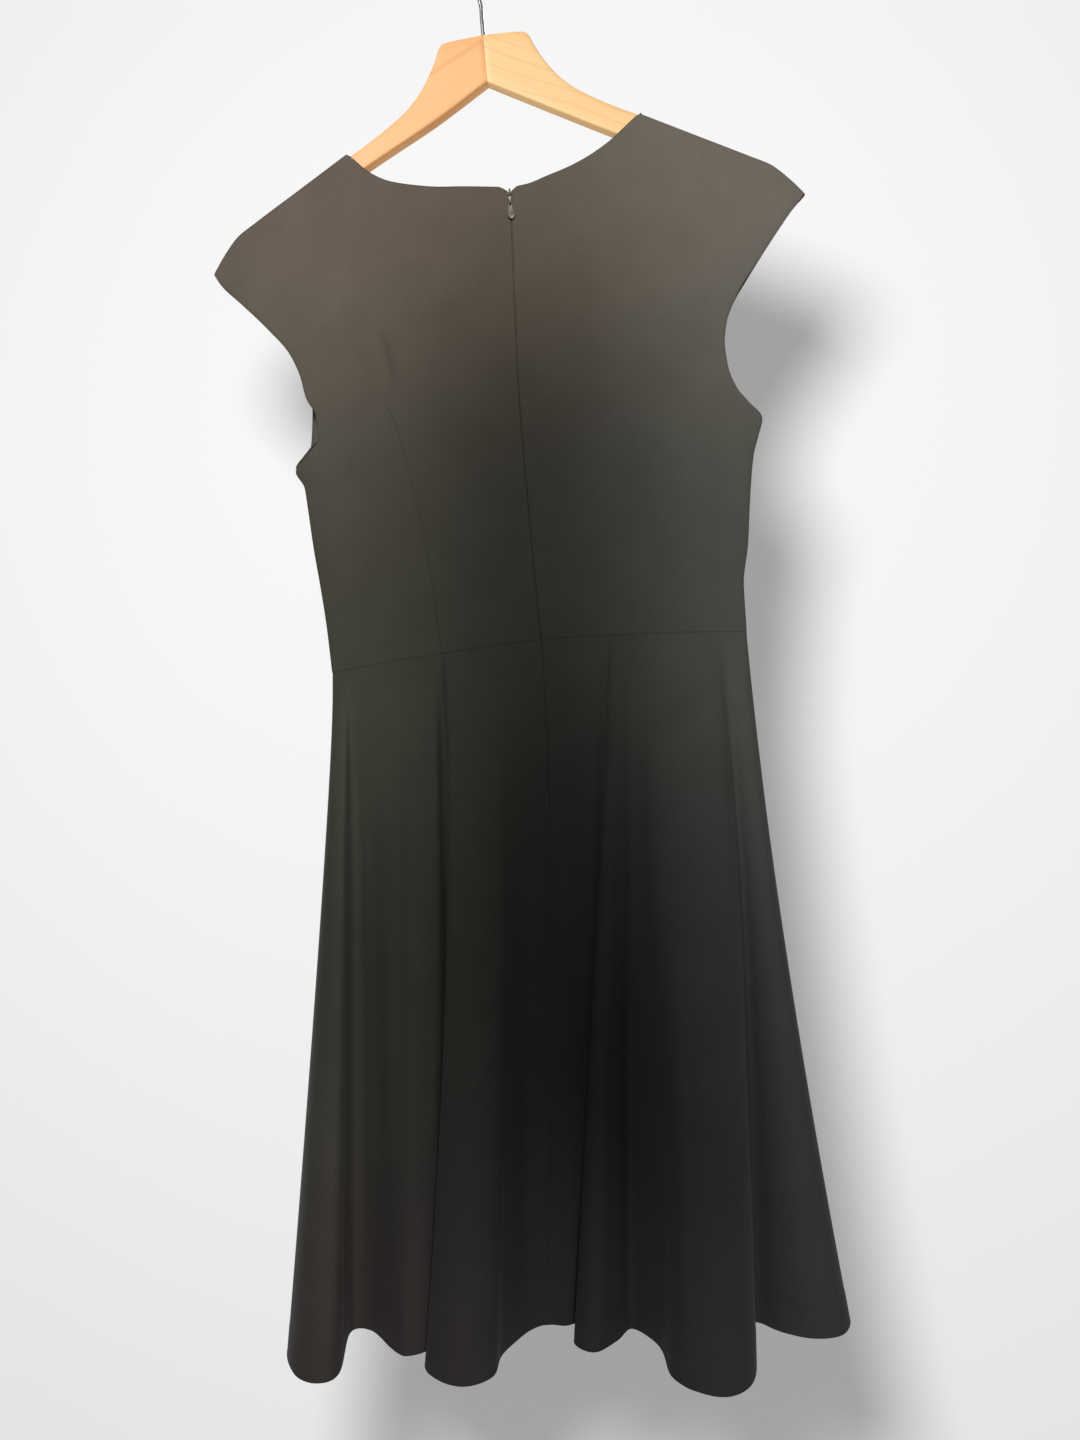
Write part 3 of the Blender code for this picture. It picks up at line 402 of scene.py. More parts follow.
def crepe_piece(name, grid, normals, thickness, flat, face):
    """A cut piece of crepe, kept on its own side of the plane where back and front meet."""
    points, faces, maps = shell(grid, normals, thickness, flat)
    points[:, 1] = face * np.maximum(face * points[:, 1], JOIN)
    print(f"{name}: {area(grid):.4f} m2, widest {arc(grid, 1).max():.3f} m, "
          f"longest {arc(grid, 0).max():.3f} m")
    return piece(f"{name}_crepe", points, faces, CREPE, maps, replaces=[name], slot="crepe")


# %% [markdown]
# ## Seams and turnings
# Sewing leaves its mark on cloth: at a seam the face sinks into a shallow groove, and at a
# pressed edge it falls away. The turning behind, a second layer about 12 mm wide, makes the
# wall thicker up to where it ends. Both are soft steps of the distance from the seam.

# %% Seams and turnings
# How deep the cloth sinks at each kind of seam or edge, and how far from it that begins
WAIST_DIP, SIDE_DIP, CENTRE_DIP = (0.45 * MM, 2.8 * MM), (0.5 * MM, 3.0 * MM), (0.5 * MM, 2.6 * MM)
ARMHOLE_DIP, NECK_DIP = (1.0 * MM, 3.6 * MM), (0.6 * MM, 3.0 * MM)
SEAM_TURNING = (12.5 * MM, 11.0 * MM)            # where the second layer ends and is whole
HEM_TURNING = 24 * MM
HEM_STEP = (HEM_TURNING + 1.0 * MM, HEM_TURNING)
HEM_RIDGE, HEM_LIFT = (HEM_TURNING + 1.5 * MM, HEM_TURNING - 1.0 * MM), 0.22 * MM


def dip(distance, depth, reach):
    """How far the cloth sinks towards a seam or a turned edge: depth * (1 - d / reach)^2."""
    return depth * np.clip(1.0 - distance / reach, 0.0, 1.0) ** 2


# %% [markdown]
# ## The form of the bodice
# The bodice hangs from the hanger as a flattened tube: its front and back close towards each
# other at the side seams, and roll over the hanger at the shoulders. In the flat, each half
# is bounded by four edges: the waist seam, the centre line, the side seam with the armhole,
# and the neckline with the shoulder. A Coons patch fills such a frame of four curves, and
# the depth is a second formula of the place in that plane.

# %% Sizes of the bodice
WAIST_Z = -0.584                 # the waist seam, below the inside top of the hook
WAIST_DROP, WAIST_SAG = 0.0086, 1.5              # how far it falls at the side, and its curve
ROLL, CAP_ROLL, ROLL_SQUARENESS = 0.0085, 0.0030, 3.0    # radii over the hanger, and at the cap
ROLL_OUT = (0.2240, 0.2490)      # the radius passes from the first to the second between these
SHOULDER_FALL, BLEND = 0.10, 0.006               # slope under the roll, and its soft joint
TUBE_POWER, TUBE_EDGE = 2.6, 0.75
NECK_SHARE = 0.5                 # of a half's upper edge is the neckline, the rest the shoulder
CLOSE = 1e-9                     # shares of an edge nearer than this are the same
SEAM_LINES = 40                  # short lines that stand for the curved shoulder seam

CENTRE_LINE = named(
    "up x",
    (-0.010, 0.0028), (0.080, 0.0026), (0.190, 0.0037), (0.275, 0.0071), (0.360, 0.0108),
    (0.372, 0.0112),
)

SIDE_SEAM = named(
    "up left right",
    (-0.0086, 0.1789, 0.1700),
    (0.030, 0.1799, 0.1712),
    (0.062, 0.1819, 0.1775),
    (0.100, 0.1850, 0.1828),
    (0.135, 0.1868, 0.1890),
    (0.150, 0.1878, 0.1942),
)

ARMHOLE = named(
    "up back_left back_right front_left front_right",
    (0.1640, 0.1942, 0.1985, 0.1942, 0.1985),
    (0.1760, 0.1790, 0.1890, 0.1855, 0.1880),
    (0.1880, 0.1695, 0.1800, 0.1815, 0.1794),
    (0.2050, 0.1695, 0.1742, 0.1795, 0.1739),
    (0.2225, 0.1768, 0.1730, 0.1782, 0.1725),
    (0.2400, 0.1797, 0.1760, 0.1797, 0.1755),
    (0.2600, 0.1870, 0.1852, 0.1865, 0.1834),
    (0.2850, 0.2052, 0.2036, 0.2047, 0.2012),
    (0.3100, 0.2268, 0.2236, 0.2263, 0.2210),
    (0.3270, 0.2420, 0.2375, 0.2415, 0.2353),
    (0.3395, 0.2490, 0.2490, 0.2490, 0.2490),
)

TUBE = named(
    "up left right",
    (0.1640, 0.1942, 0.1985),
    (0.1900, 0.1975, 0.2010),
    (0.2200, 0.2050, 0.2065),
    (0.2500, 0.2180, 0.2175),
    (0.2800, 0.2360, 0.2335),
    (0.3100, 0.2560, 0.2535),
    (0.3395, 0.2760, 0.2750),
)

DEPTH = named(
    "up back front",
    (-0.010, 0.0215, 0.0235),
    (0.100, 0.0240, 0.0280),
    (0.200, 0.0260, 0.0310),
    (0.280, 0.0225, 0.0270),
    (0.345, 0.0182, 0.0210),
    (0.430, 0.0178, 0.0180),
)

SHOULDER = named(
    "along out left right",
    (0.00, 0.1240, 0.4236, 0.4212),
    (0.35, 0.1640, 0.4014, 0.3990),
    (0.70, 0.2085, 0.3767, 0.3743),
    (0.82, 0.2240, 0.3676, 0.3655),
    (0.92, 0.2380, 0.3535, 0.3523),
    (1.00, 0.2490, 0.3395, 0.3395),
)

NECKLINE = named(
    "along back_left back_right front_left front_right",
    (0.00, 0.3708, 0.3708, 0.3000, 0.3000),
    (0.12, 0.3735, 0.3718, 0.3012, 0.3012),
    (0.28, 0.3772, 0.3768, 0.3060, 0.3060),
    (0.45, 0.3808, 0.3827, 0.3175, 0.3175),
    (0.60, 0.3860, 0.3901, 0.3330, 0.3330),
    (0.75, 0.3933, 0.4002, 0.3560, 0.3555),
    (0.87, 0.4045, 0.4109, 0.3850, 0.3838),
    (0.95, 0.4165, 0.4180, 0.4095, 0.4075),
    (1.00, 0.4236, 0.4212, 0.4236, 0.4212),
)

# %% The bodice's surface


def above_side_seam(up, side, table, column):
    """A curve that follows the side seam and then goes on along a column of another table."""
    heights = np.concatenate([SIDE_SEAM["up"], table["up"]])
    return smooth(heights, np.concatenate([SIDE_SEAM[SIDE_NAME[side]], table[column]]), up)


def side_out(up, side, face):
    """Distance of the side seam, and of the armhole edge above it, from the middle plane."""
    return above_side_seam(up, side, ARMHOLE, f"{FACE_NAME[face]}_{SIDE_NAME[side]}")


def tube_out(up, side):
    """Half width of the flattened tube of the body."""
    return above_side_seam(up, side, TUBE, SIDE_NAME[side])


def shoulder_seam(along, side):
    """(out, up) on the shoulder seam, from the neck (0) to the tip of the cap (1)."""
    seam_out = smooth(SHOULDER["along"], SHOULDER["out"], along)
    return np.stack([seam_out, smooth(SHOULDER["along"], SHOULDER[SIDE_NAME[side]], along)], -1)


def distance_to_shoulder(out, up, side):
    """Distance, in the hanger's plane, from the shoulder seam drawn as short lines."""
    line = shoulder_seam(np.linspace(0.0, 1.0, SEAM_LINES + 1), side)
    point = np.stack([out, up], -1)
    best = np.full(out.shape, np.inf)
    for start, leg in zip(line[:-1], np.diff(line, axis=0)):
        t = np.clip(((point - start) * leg).sum(-1) / (leg ** 2).sum(), 0.0, 1.0)
        best = np.minimum(best, np.linalg.norm(point - start - t[..., None] * leg, axis=-1))
    return best


def body_depth(x, up, side, face):
    """The smaller, softly joined, of a flattened tube and a roll over the hanger.

    Tube: depth * (1 - share^2.6)^0.75. Roll: radius * (1 - inside^3)^(1/3), then a slow fall.
    """
    out = np.abs(x)
    share = np.minimum(out / tube_out(up, side), 1.0)
    deep = smooth(DEPTH["up"], DEPTH[FACE_NAME[face]], up)
    tube = deep * (1.0 - share ** TUBE_POWER) ** TUBE_EDGE
    radius = np.interp(out, ROLL_OUT, (ROLL, CAP_ROLL))
    distance = distance_to_shoulder(out, up, side)
    inside = np.clip(1.0 - distance / radius, 0.0, 1.0)
    roll = radius * (1.0 - inside ** ROLL_SQUARENESS) ** (1.0 / ROLL_SQUARENESS)
    shoulder = roll + SHOULDER_FALL * np.maximum(0.0, distance - radius)
    near = np.maximum(0.0, 1.0 - np.abs(tube - shoulder) / BLEND)
    return np.maximum(0.0, np.minimum(tube, shoulder) - 0.25 * BLEND * near ** 2)


def top_edge(u, side, face):
    """x and up of the neckline (u up to a half) and of the shoulder seam beyond it."""
    centre = CENTRE_LINE["x"][-1]
    along_neck = np.clip(u / NECK_SHARE, 0.0, 1.0)
    neck_x = centre + along_neck * (side * SHOULDER["out"][0] - centre)
    heights = NECKLINE[f"{FACE_NAME[face]}_{SIDE_NAME[side]}"]
    neck_up = smooth(NECKLINE["along"], heights, along_neck)
    seam = shoulder_seam(np.clip((u - NECK_SHARE) / (1.0 - NECK_SHARE), 0.0, 1.0), side)
    on_neck = u < NECK_SHARE
    return (np.where(on_neck, neck_x, side * seam[..., 0]),
            np.where(on_neck, neck_up, seam[..., 1]))


def waist_edge(u, side):
    """x and up of the waist seam for u from 0 (centre) to 1 (side seam)."""
    centre = CENTRE_LINE["x"][0]
    x = centre + u * (side * SIDE_SEAM[SIDE_NAME[side]][0] - centre)
    return x, -WAIST_DROP * u ** WAIST_SAG


def bodice_patch(u, v, side, face):
    """Coons patch: both ruled surfaces between opposite edges, less the one of the corners.

    The centre line is slid to end at the neckline, and the shoulder seam lies in y = 0.
    """
    ends = np.array([0.0, 1.0])
    low, low_end = waist_edge(u, side), np.stack(waist_edge(ends, side))
    top, top_end = top_edge(u, side, face), np.stack(top_edge(ends, side, face))
    centre_up = low_end[1, 0] + (top_end[1, 0] - low_end[1, 0]) * v
    centre = smooth(CENTRE_LINE["up"], CENTRE_LINE["x"], centre_up)
    top_centre = smooth(CENTRE_LINE["up"], CENTRE_LINE["x"], top_end[1, :1])
    centre = centre + (top_end[0, 0] - top_centre) * v, centre_up
    edge_up = low_end[1, 1] + (top_end[1, 1] - low_end[1, 1]) * v
    edge = side * side_out(edge_up, side, face), edge_up
    patch = []
    for k in (0, 1):
        corners = ((1 - v) * ((1 - u) * low_end[k, 0] + u * low_end[k, 1])
                   + v * ((1 - u) * top_end[k, 0] + u * top_end[k, 1]))
        patch.append((1 - v) * low[k] + v * top[k] + (1 - u) * centre[k] + u * edge[k] - corners)
    x, up = patch
    on_seam = (v > 1.0 - CLOSE) & (u > NECK_SHARE - CLOSE)
    y = np.where(on_seam, 0.0, face * body_depth(x, up, side, face))
    return np.stack([x, y, up + WAIST_Z], -1)


# %% [markdown]
# ## Seams, darts and creases of the bodice
# A dart takes in a wedge of cloth, sewn from the waist to nothing under the shoulder blade.
# From outside it is a fine line that sinks in, with the doubled cloth standing up a little
# on its inner side, and a soft pucker where it ends. The grid's columns are bent so that one
# runs along the dart; a few more lie close beside it, and the line stays crisp.
# Creases are soft troughs: a bell across the crease, eased in and out along it.

# %% Darts and creases
DART_PLACE = 0.4575              # column of the patch that follows the dart
DART = named(
    "rise place",
    (0.00, DART_PLACE), (0.15, 0.4625), (0.30, 0.4825), (0.40, 0.5150), (0.52, 0.5600),
    (0.62, 0.6050), (0.74, 0.5950), (0.87, 0.5200), (1.00, DART_PLACE),
)
DART_END, DART_FADE = {BACK: 0.60, FRONT: 0.46}, 0.16    # rise where it runs out, and fade
DART_DEEP = {(LEFT, BACK): 0.62 * MM, (RIGHT, BACK): 0.20 * MM,
             (LEFT, FRONT): 0.45 * MM, (RIGHT, FRONT): 0.40 * MM}
DART_WIDE, DART_INTAKE = 1.3 * MM, 14 * MM
WEDGE = 0.5                      # lift of the cloth over the folded wedge, as a share of depth
CREASE_ENDS = 0.35               # share of a crease's length over which it eases in and out

# Troughs (deep above zero) and ridges (below), from one point to another; bend bows them
CREASE_COLUMNS = "x up to_x to_up bend wide deep"
BACK_CREASES = named(
    CREASE_COLUMNS,
    (-0.1130, 0.2800, -0.1000, 0.2050, 0.002, 0.0052, 0.0022),
    (-0.1230, 0.2780, -0.1090, 0.2100, 0.002, 0.0070, -0.0010),
    (-0.1010, 0.2750, -0.0890, 0.2120, 0.002, 0.0080, -0.0009),
    (0.1120, 0.2680, 0.1020, 0.2150, -0.002, 0.0050, 0.0005),
    (-0.0700, 0.0050, -0.0200, 0.0900, 0.006, 0.0120, 0.0006),
    (0.1200, 0.0050, 0.0900, 0.1000, -0.004, 0.0130, 0.0007),
    (-0.1500, 0.0100, -0.1300, 0.1200, 0.004, 0.0110, 0.0007),
    (0.0350, 0.3300, 0.1100, 0.2600, 0.008, 0.0150, 0.0006),
    (-0.0400, 0.3450, -0.1200, 0.2900, -0.006, 0.0150, 0.0005),
    (0.1620, 0.2300, 0.1300, 0.1500, -0.006, 0.0140, 0.0010),
    (-0.1650, 0.1900, -0.1450, 0.1300, 0.003, 0.0100, 0.0008),
)
FRONT_CREASES = named(
    CREASE_COLUMNS,
    (-0.1000, 0.2300, -0.1150, 0.1500, 0.004, 0.0100, 0.0011),
    (0.1020, 0.2350, 0.1120, 0.1550, -0.004, 0.0100, 0.0012),
    (-0.0450, 0.0050, -0.0250, 0.1100, 0.005, 0.0130, 0.0008),
    (0.0600, 0.0050, 0.0450, 0.0900, -0.005, 0.0120, 0.0007),
    (-0.1550, 0.2250, -0.1200, 0.1650, -0.006, 0.0110, 0.0010),
    (0.1580, 0.2150, 0.1250, 0.1600, 0.006, 0.0110, 0.0009),
    (-0.0300, 0.2900, 0.0300, 0.2850, -0.012, 0.0140, 0.0010),
)
CREASES = {BACK: BACK_CREASES, FRONT: FRONT_CREASES}


def creases(table, a, b, metric=1.0):
    """Sum of bells: deep * exp(-(d / wide)^2), eased in and out over a third of the length.

    A table gives each crease's start and end, then its bend, width and depth. d is the
    distance from the crease's middle line, which is bowed by bend * 4t(1 - t).
    """
    total = np.zeros_like(a)
    for a0, b0, a1, b1, bend, wide, deep in zip(*table.values()):
        run = np.array([a1 - a0, b1 - b0])
        length = np.hypot(*run)
        t = ((a - a0) * run[0] + (b - b0) * run[1]) / length ** 2
        d = ((b - b0) * run[0] - (a - a0) * run[1]) / length - bend * 4 * t * (1 - t)
        along = ease(0.0, CREASE_ENDS, t) * ease(0.0, CREASE_ENDS, 1.0 - t)
        total += deep * np.exp(-(d * metric / wide) ** 2) * along
    return total


# %% [markdown]
# ## Cutting the bodice
# The grid of each half is the same formula, sampled every two millimetres and much closer at
# the seams and turned edges, where the cloth bends sharply. The back is two pieces that meet
# at the zip, and the front is one piece, cut on the fold.

# %% Sampling
HALF_WIDTH, HALF_HEIGHT = 0.19, 0.43             # about a half's size, to turn metres to shares
COLUMN_STEP, ROW_STEP = 2.2 * MM, 2.3 * MM       # the widest steps
NECK_STEP = 0.006                # share of the width kept close at the end of the shoulder
EDGE_STEPS = np.array([0.0, 0.3, 0.7, 1.2, 1.9, 2.8, 4.0]) * MM
ROLL_STEPS = np.array([0.0, 0.02, 0.12, 0.35, 0.75, 1.3, 2.1, 3.1, 4.3, 5.6, 7.0, 8.6]) * MM
DART_STEPS = np.array([0.35, 0.75, 1.3, 2.2, 3.6]) * MM


def between(low, high, spacing):
    """Even steps from low to high, both left out, none wider than spacing."""
    return np.linspace(low, high, max(2, math.ceil((high - low) / spacing)) + 1)[1:-1]


def bodice_columns():
    """Places from the centre (0) to the side (1), closer at the dart, the neck and the edges."""
    edge = EDGE_STEPS / HALF_WIDTH
    dart = DART_STEPS / HALF_WIDTH
    fine = [DART_PLACE - dart[::-1], [DART_PLACE], DART_PLACE + dart,
            [NECK_SHARE - NECK_STEP, NECK_SHARE, NECK_SHARE + NECK_STEP], 1.0 - edge[::-1]]
    result = list(edge)
    for part in fine:
        result.extend(between(result[-1], part[0], COLUMN_STEP / HALF_WIDTH))
        result.extend(part)
    return np.array(result)


def bodice_rows():
    """Rises from the waist (0) to the top (1), closer at the waist and over the shoulder."""
    low, high = EDGE_STEPS / HALF_HEIGHT, 1.0 - ROLL_STEPS[::-1] / HALF_HEIGHT
    return np.concatenate([low, between(low[-1], high[0], ROW_STEP / HALF_HEIGHT), high])


COLUMNS, ROWS = bodice_columns(), bodice_rows()
ARMHOLE_FOOT = (ARMHOLE["up"][0] + WAIST_DROP) / (ARMHOLE["up"][-1] + WAIST_DROP)
FREE_SIDE = (ARMHOLE_FOOT - 0.01, ARMHOLE_FOOT + 0.02)       # from sewn side to free armhole
NECK_PART = (NECK_SHARE + 0.01, NECK_SHARE - 0.005)          # from shoulder seam to neckline
print("bodice half:", len(ROWS), "rows of", len(COLUMNS), "points")

# %% Half a bodice


def flatten(normals, where, axis):
    """Lays the normals of a seam's row or column into the plane of that seam."""
    normals[where + (axis,)] = 0.0
    normals[where] = unit(normals[where])


def facing(normals, face):
    """Normals turned so that they point out of the back or out of the front."""
    middle = normals[len(normals) // 2, normals.shape[1] // 2, 1]
    return normals * math.copysign(1.0, middle * face)


def half_bodice(side, face):
    """Points, sinking, thickness and grain map of half a bodice."""
    dart_at = smooth(DART["rise"], DART["place"], ROWS)
    u = np.array([smooth(np.array([0.0, DART_PLACE, 1.0]), np.array([0.0, at, 1.0]), COLUMNS)
                  for at in dart_at])
    v = np.repeat(ROWS[:, None], len(COLUMNS), axis=1)
    grid = bodice_patch(u, v, side, face)
    across, along = arc(grid, 1), arc(grid, 0)
    to_side, to_top = across[:, -1:] - across, along[-1:] - along

    free_side, on_neck = ease(*FREE_SIDE, v), ease(*NECK_PART, COLUMNS)[None, :]
    column = np.argmin(np.abs(COLUMNS - DART_PLACE))
    from_dart = across - across[:, column:column + 1]
    dart_fade = ease(DART_END[face], DART_END[face] - DART_FADE, v)
    deep = DART_DEEP[side, face]
    wedge = np.clip(1.0 + from_dart / DART_INTAKE, 0.0, 1.0) * (from_dart < 0)
    sink = (dip(along, *WAIST_DIP)
            + dip(to_side, *SIDE_DIP) * (1 - free_side)
            + dip(to_side, *ARMHOLE_DIP) * free_side
            + dip(to_top, *NECK_DIP) * on_neck
            + dip(np.abs(from_dart), deep, DART_WIDE) * dart_fade
            - WEDGE * deep * wedge * dart_fade)
    if face == BACK:
        sink += dip(across, *CENTRE_DIP)
    sink += creases(CREASES[face], grid[..., 0], grid[..., 2] - WAIST_Z)

    seams = [along, to_side, to_top] + ([across] if face == BACK else [])
    thickness = CREPE_WALL + TURNING * ease(*SEAM_TURNING, np.minimum.reduce(seams))
    for sewn in ((0,), (ROWS < ARMHOLE_FOOT, -1), (-1, COLUMNS > NECK_SHARE)):
        thickness[sewn] = SEWN
    return grid, sink, thickness, np.stack([side * across, along], -1)


def shoulder_normals(normals, grid):
    """Lays the normals at the shoulder seam square to it, in the hanger's plane."""
    first = int(np.argmin(np.abs(COLUMNS - NECK_SHARE)))
    run = np.gradient(grid[-1, first:, ::2], axis=0)
    square = unit(np.stack([-run[:, 1], run[:, 0]], -1))
    square *= np.where(square[:, 1:] < 0, -1.0, 1.0)
    normals[-1, first:] = np.stack([square[:, 0], 0 * square[:, 0], square[:, 1]], -1)


THIN_PART, THIN_SINK = 4 * MM, 0.35      # near y = 0 the cloth sinks by this share only


def settled(grid, sink, face):
    """The grid sunk along its normals, and the normals of the sunk grid, square at seams."""
    normals = facing(vertex_normals(grid), face)
    for again in (False, True):
        flatten(normals, (ROWS < ARMHOLE_FOOT, -1), 1)
        flatten(normals, (0, slice(None)), 2)
        shoulder_normals(normals, grid)
        if not again:
            free = np.where(np.abs(grid[..., 1]) < THIN_PART, THIN_SINK, 1.0)
            grid = grid - normals * (sink * free)[..., None]
            grid[..., 1] = face * np.maximum(face * grid[..., 1], 0.0)
            normals = facing(vertex_normals(grid), face)
    grid[..., 1] += face * JOIN
    grid[0, :, 2] += JOIN
    return grid, normals


# %% The pieces of the bodice
ZIP_MOUTH = named("up half_gap", (0.3500, 0.0), (0.3580, 0.0), (0.3600, 0.0009), (0.3672, 0.0009),
                  (0.3708, 0.0055))
MOUTH_REACH = 9 * MM             # the cloth beside the zip's mouth gives way over this width


def make_back_bodice(side):
    """Half of the back with its cap sleeve; its centre edge opens for the zip's slider."""
    grid, sink, thickness, flat = half_bodice(side, BACK)
    grid, normals = settled(grid, sink, BACK)
    flatten(normals, (slice(None), 0), 0)
    gap = np.interp(grid[:, 0, 2] - WAIST_Z, ZIP_MOUTH["up"], ZIP_MOUTH["half_gap"])
    near = np.clip(1.0 - arc(grid, 1) / MOUTH_REACH, 0.0, 1.0)
    grid[..., 0] += side * (gap[:, None] * near)
    name = f"back_bodice_{SIDE_NAME[side]}"
    return crepe_piece(name, grid, normals, thickness, flat, BACK), grid, normals


def make_front_bodice():
    """The front, left to right in one piece, with both cap sleeves."""
    parts = []
    for side in SIDES:
        grid, sink, thickness, flat = half_bodice(side, FRONT)
        parts.append((*settled(grid, sink, FRONT), thickness, flat))
    grid, normals, thickness, flat = (np.concatenate([left[:, ::-1], right[:, 1:]], axis=1)
                                      for left, right in zip(*parts))
    normals[:, len(COLUMNS) - 1] = unit(parts[0][1][:, 0] + parts[1][1][:, 0])
    return crepe_piece("front_bodice", grid, normals, thickness, flat, FRONT)


BACKS = {side: make_back_bodice(side) for side in SIDES}
make_front_bodice()

# %% [markdown]
# ## The form of the skirt
# A flared skirt is cut as part of a ring. At the waist it is as wide as the bodice, and at
# the hem more than twice that, so the spare cloth drops in folds that open from the waist
# down. Each turning of a fold is one row of a table: its place on the waist seam, where it
# reaches the hem, and how soon it opens. A smooth curve through the rows gives any section.

# %% Folds of the skirt
HEM_UP = -0.560
FOLD_COLUMNS = "waist hem_x hem_out x_power out_power"
BACK_FOLDS = named(
    FOLD_COLUMNS,
    (-1.000, -0.2470, 0.0000, 1.08, 1.00),
    (-0.985, -0.2580, 0.0360, 1.08, 1.00),
    (-0.968, -0.2410, 0.0720, 1.10, 1.00),
    (-0.950, -0.2195, 0.0850, 1.15, 1.00),
    (-0.930, -0.2045, 0.0735, 1.20, 1.00),
    (-0.905, -0.2105, 0.0180, 1.20, 1.00),
    (-0.860, -0.1935, 0.0150, 1.25, 1.00),
    (-0.750, -0.1720, 0.0395, 1.30, 1.00),
    (-0.680, -0.1630, 0.0490, 1.35, 0.95),
    (-0.610, -0.1540, 0.0535, 1.40, 0.90),
    (-0.510, -0.1385, 0.0460, 1.45, 0.80),
    (-0.465, -0.1270, 0.0190, 1.45, 0.70),
    (-0.435, -0.1376, 0.0640, 1.45, 0.75),
    (-0.380, -0.1224, 0.0868, 1.45, 0.85),
    (-0.300, -0.1000, 0.0955, 1.40, 0.95),
    (-0.210, -0.0806, 0.0840, 1.35, 1.10),
    (-0.150, -0.0770, 0.0560, 1.35, 1.20),
    (-0.080, -0.0600, 0.0275, 1.40, 1.20),
    (0.000, -0.0469, 0.0170, 1.50, 1.20),
    (0.150, -0.0300, 0.0195, 1.20, 1.10),
    (0.310, -0.0190, 0.0180, 1.05, 0.80),
    (0.345, -0.0207, 0.0450, 1.00, 0.85),
    (0.370, -0.0040, 0.0580, 1.00, 0.95),
    (0.392, 0.0132, 0.0435, 1.00, 1.00),
    (0.415, 0.0250, 0.0275, 1.00, 1.00),
    (0.450, 0.0438, 0.0510, 1.00, 0.95),
    (0.500, 0.0545, 0.0915, 1.05, 0.90),
    (0.580, 0.0756, 0.1125, 1.10, 0.90),
    (0.680, 0.0960, 0.1178, 1.30, 0.95),
    (0.780, 0.1122, 0.1055, 1.60, 1.00),
    (0.835, 0.1188, 0.0780, 1.90, 1.05),
    (0.865, 0.1180, 0.0300, 2.10, 1.10),
    (0.885, 0.1260, 0.0260, 2.00, 1.10),
    (0.915, 0.1420, 0.0400, 1.85, 1.00),
    (0.945, 0.1650, 0.0505, 1.75, 1.00),
    (0.970, 0.1875, 0.0475, 1.75, 1.00),
    (0.988, 0.1974, 0.0270, 1.72, 1.00),
    (1.000, 0.1910, 0.0000, 1.72, 1.00),
)
FRONT_FOLDS = named(
    FOLD_COLUMNS,
    (-1.000, -0.2470, 0.0000, 1.08, 1.00),
    (-0.985, -0.2440, 0.0300, 1.15, 1.00),
    (-0.940, -0.2180, 0.0620, 1.20, 1.00),
    (-0.860, -0.1900, 0.0500, 1.20, 1.00),
    (-0.760, -0.1740, 0.0210, 1.20, 1.00),
    (-0.640, -0.1520, 0.0480, 1.20, 0.95),
    (-0.520, -0.1230, 0.0800, 1.20, 0.90),
    (-0.400, -0.0930, 0.0560, 1.20, 0.90),
    (-0.310, -0.0820, 0.0200, 1.20, 0.90),
    (-0.200, -0.0560, 0.0430, 1.20, 1.00),
    (-0.080, -0.0300, 0.0620, 1.10, 1.00),
    (0.040, -0.0080, 0.0260, 1.10, 1.00),
    (0.150, 0.0180, 0.0460, 1.10, 0.95),
    (0.290, 0.0420, 0.0850, 1.10, 0.90),
    (0.430, 0.0700, 0.0600, 1.20, 0.90),
    (0.530, 0.0830, 0.0220, 1.20, 0.90),
    (0.650, 0.1040, 0.0480, 1.30, 1.00),
    (0.770, 0.1240, 0.0680, 1.40, 1.00),
    (0.860, 0.1430, 0.0330, 1.50, 1.00),
    (0.930, 0.1700, 0.0420, 1.60, 1.00),
    (0.985, 0.1930, 0.0250, 1.72, 1.00),
    (1.000, 0.1910, 0.0000, 1.72, 1.00),
)

# Smaller creases between the folds: place on the waist and share of the fall to the hem
FALL_COLUMNS = "place fall to_place to_fall bend wide deep"
BACK_SKIRT_CREASES = named(
    FALL_COLUMNS,
    (-0.66, 0.03, -0.70, 0.75, 0.010, 0.010, 0.0010),
    (-0.896, 0.00, -0.896, 1.12, 0.000, 0.0085, 0.0030),
    (-0.83, 0.10, -0.80, 0.90, 0.008, 0.011, 0.0012),
    (-0.56, 0.00, -0.54, 0.95, 0.000, 0.014, 0.0016),
    (-0.468, -0.06, -0.470, 0.98, 0.000, 0.0045, 0.0048),
    (-0.43, -0.06, -0.42, 0.50, 0.000, 0.0065, -0.0012),
    (-0.30, 0.02, -0.33, 0.45, 0.010, 0.012, 0.0010),
    (-0.10, 0.10, -0.08, 1.10, 0.000, 0.0130, 0.0042),
    (0.025, 0.55, 0.020, 1.10, 0.000, 0.0060, -0.0016),
    (0.20, 0.02, 0.16, 0.80, 0.000, 0.0150, 0.0020),
    (0.318, -0.08, 0.322, 0.98, 0.000, 0.0048, 0.0048),
    (0.385, -0.10, 0.380, 0.30, 0.000, 0.0070, -0.0014),
    (0.428, -0.20, 0.420, 0.62, 0.000, 0.0095, -0.0048),
    (0.500, 0.35, 0.458, 1.12, 0.000, 0.0120, 0.0048),
    (0.575, 0.35, 0.545, 1.12, 0.000, 0.0090, -0.0016),
    (0.80, 0.10, 0.76, 0.55, 0.006, 0.010, 0.0010),
)
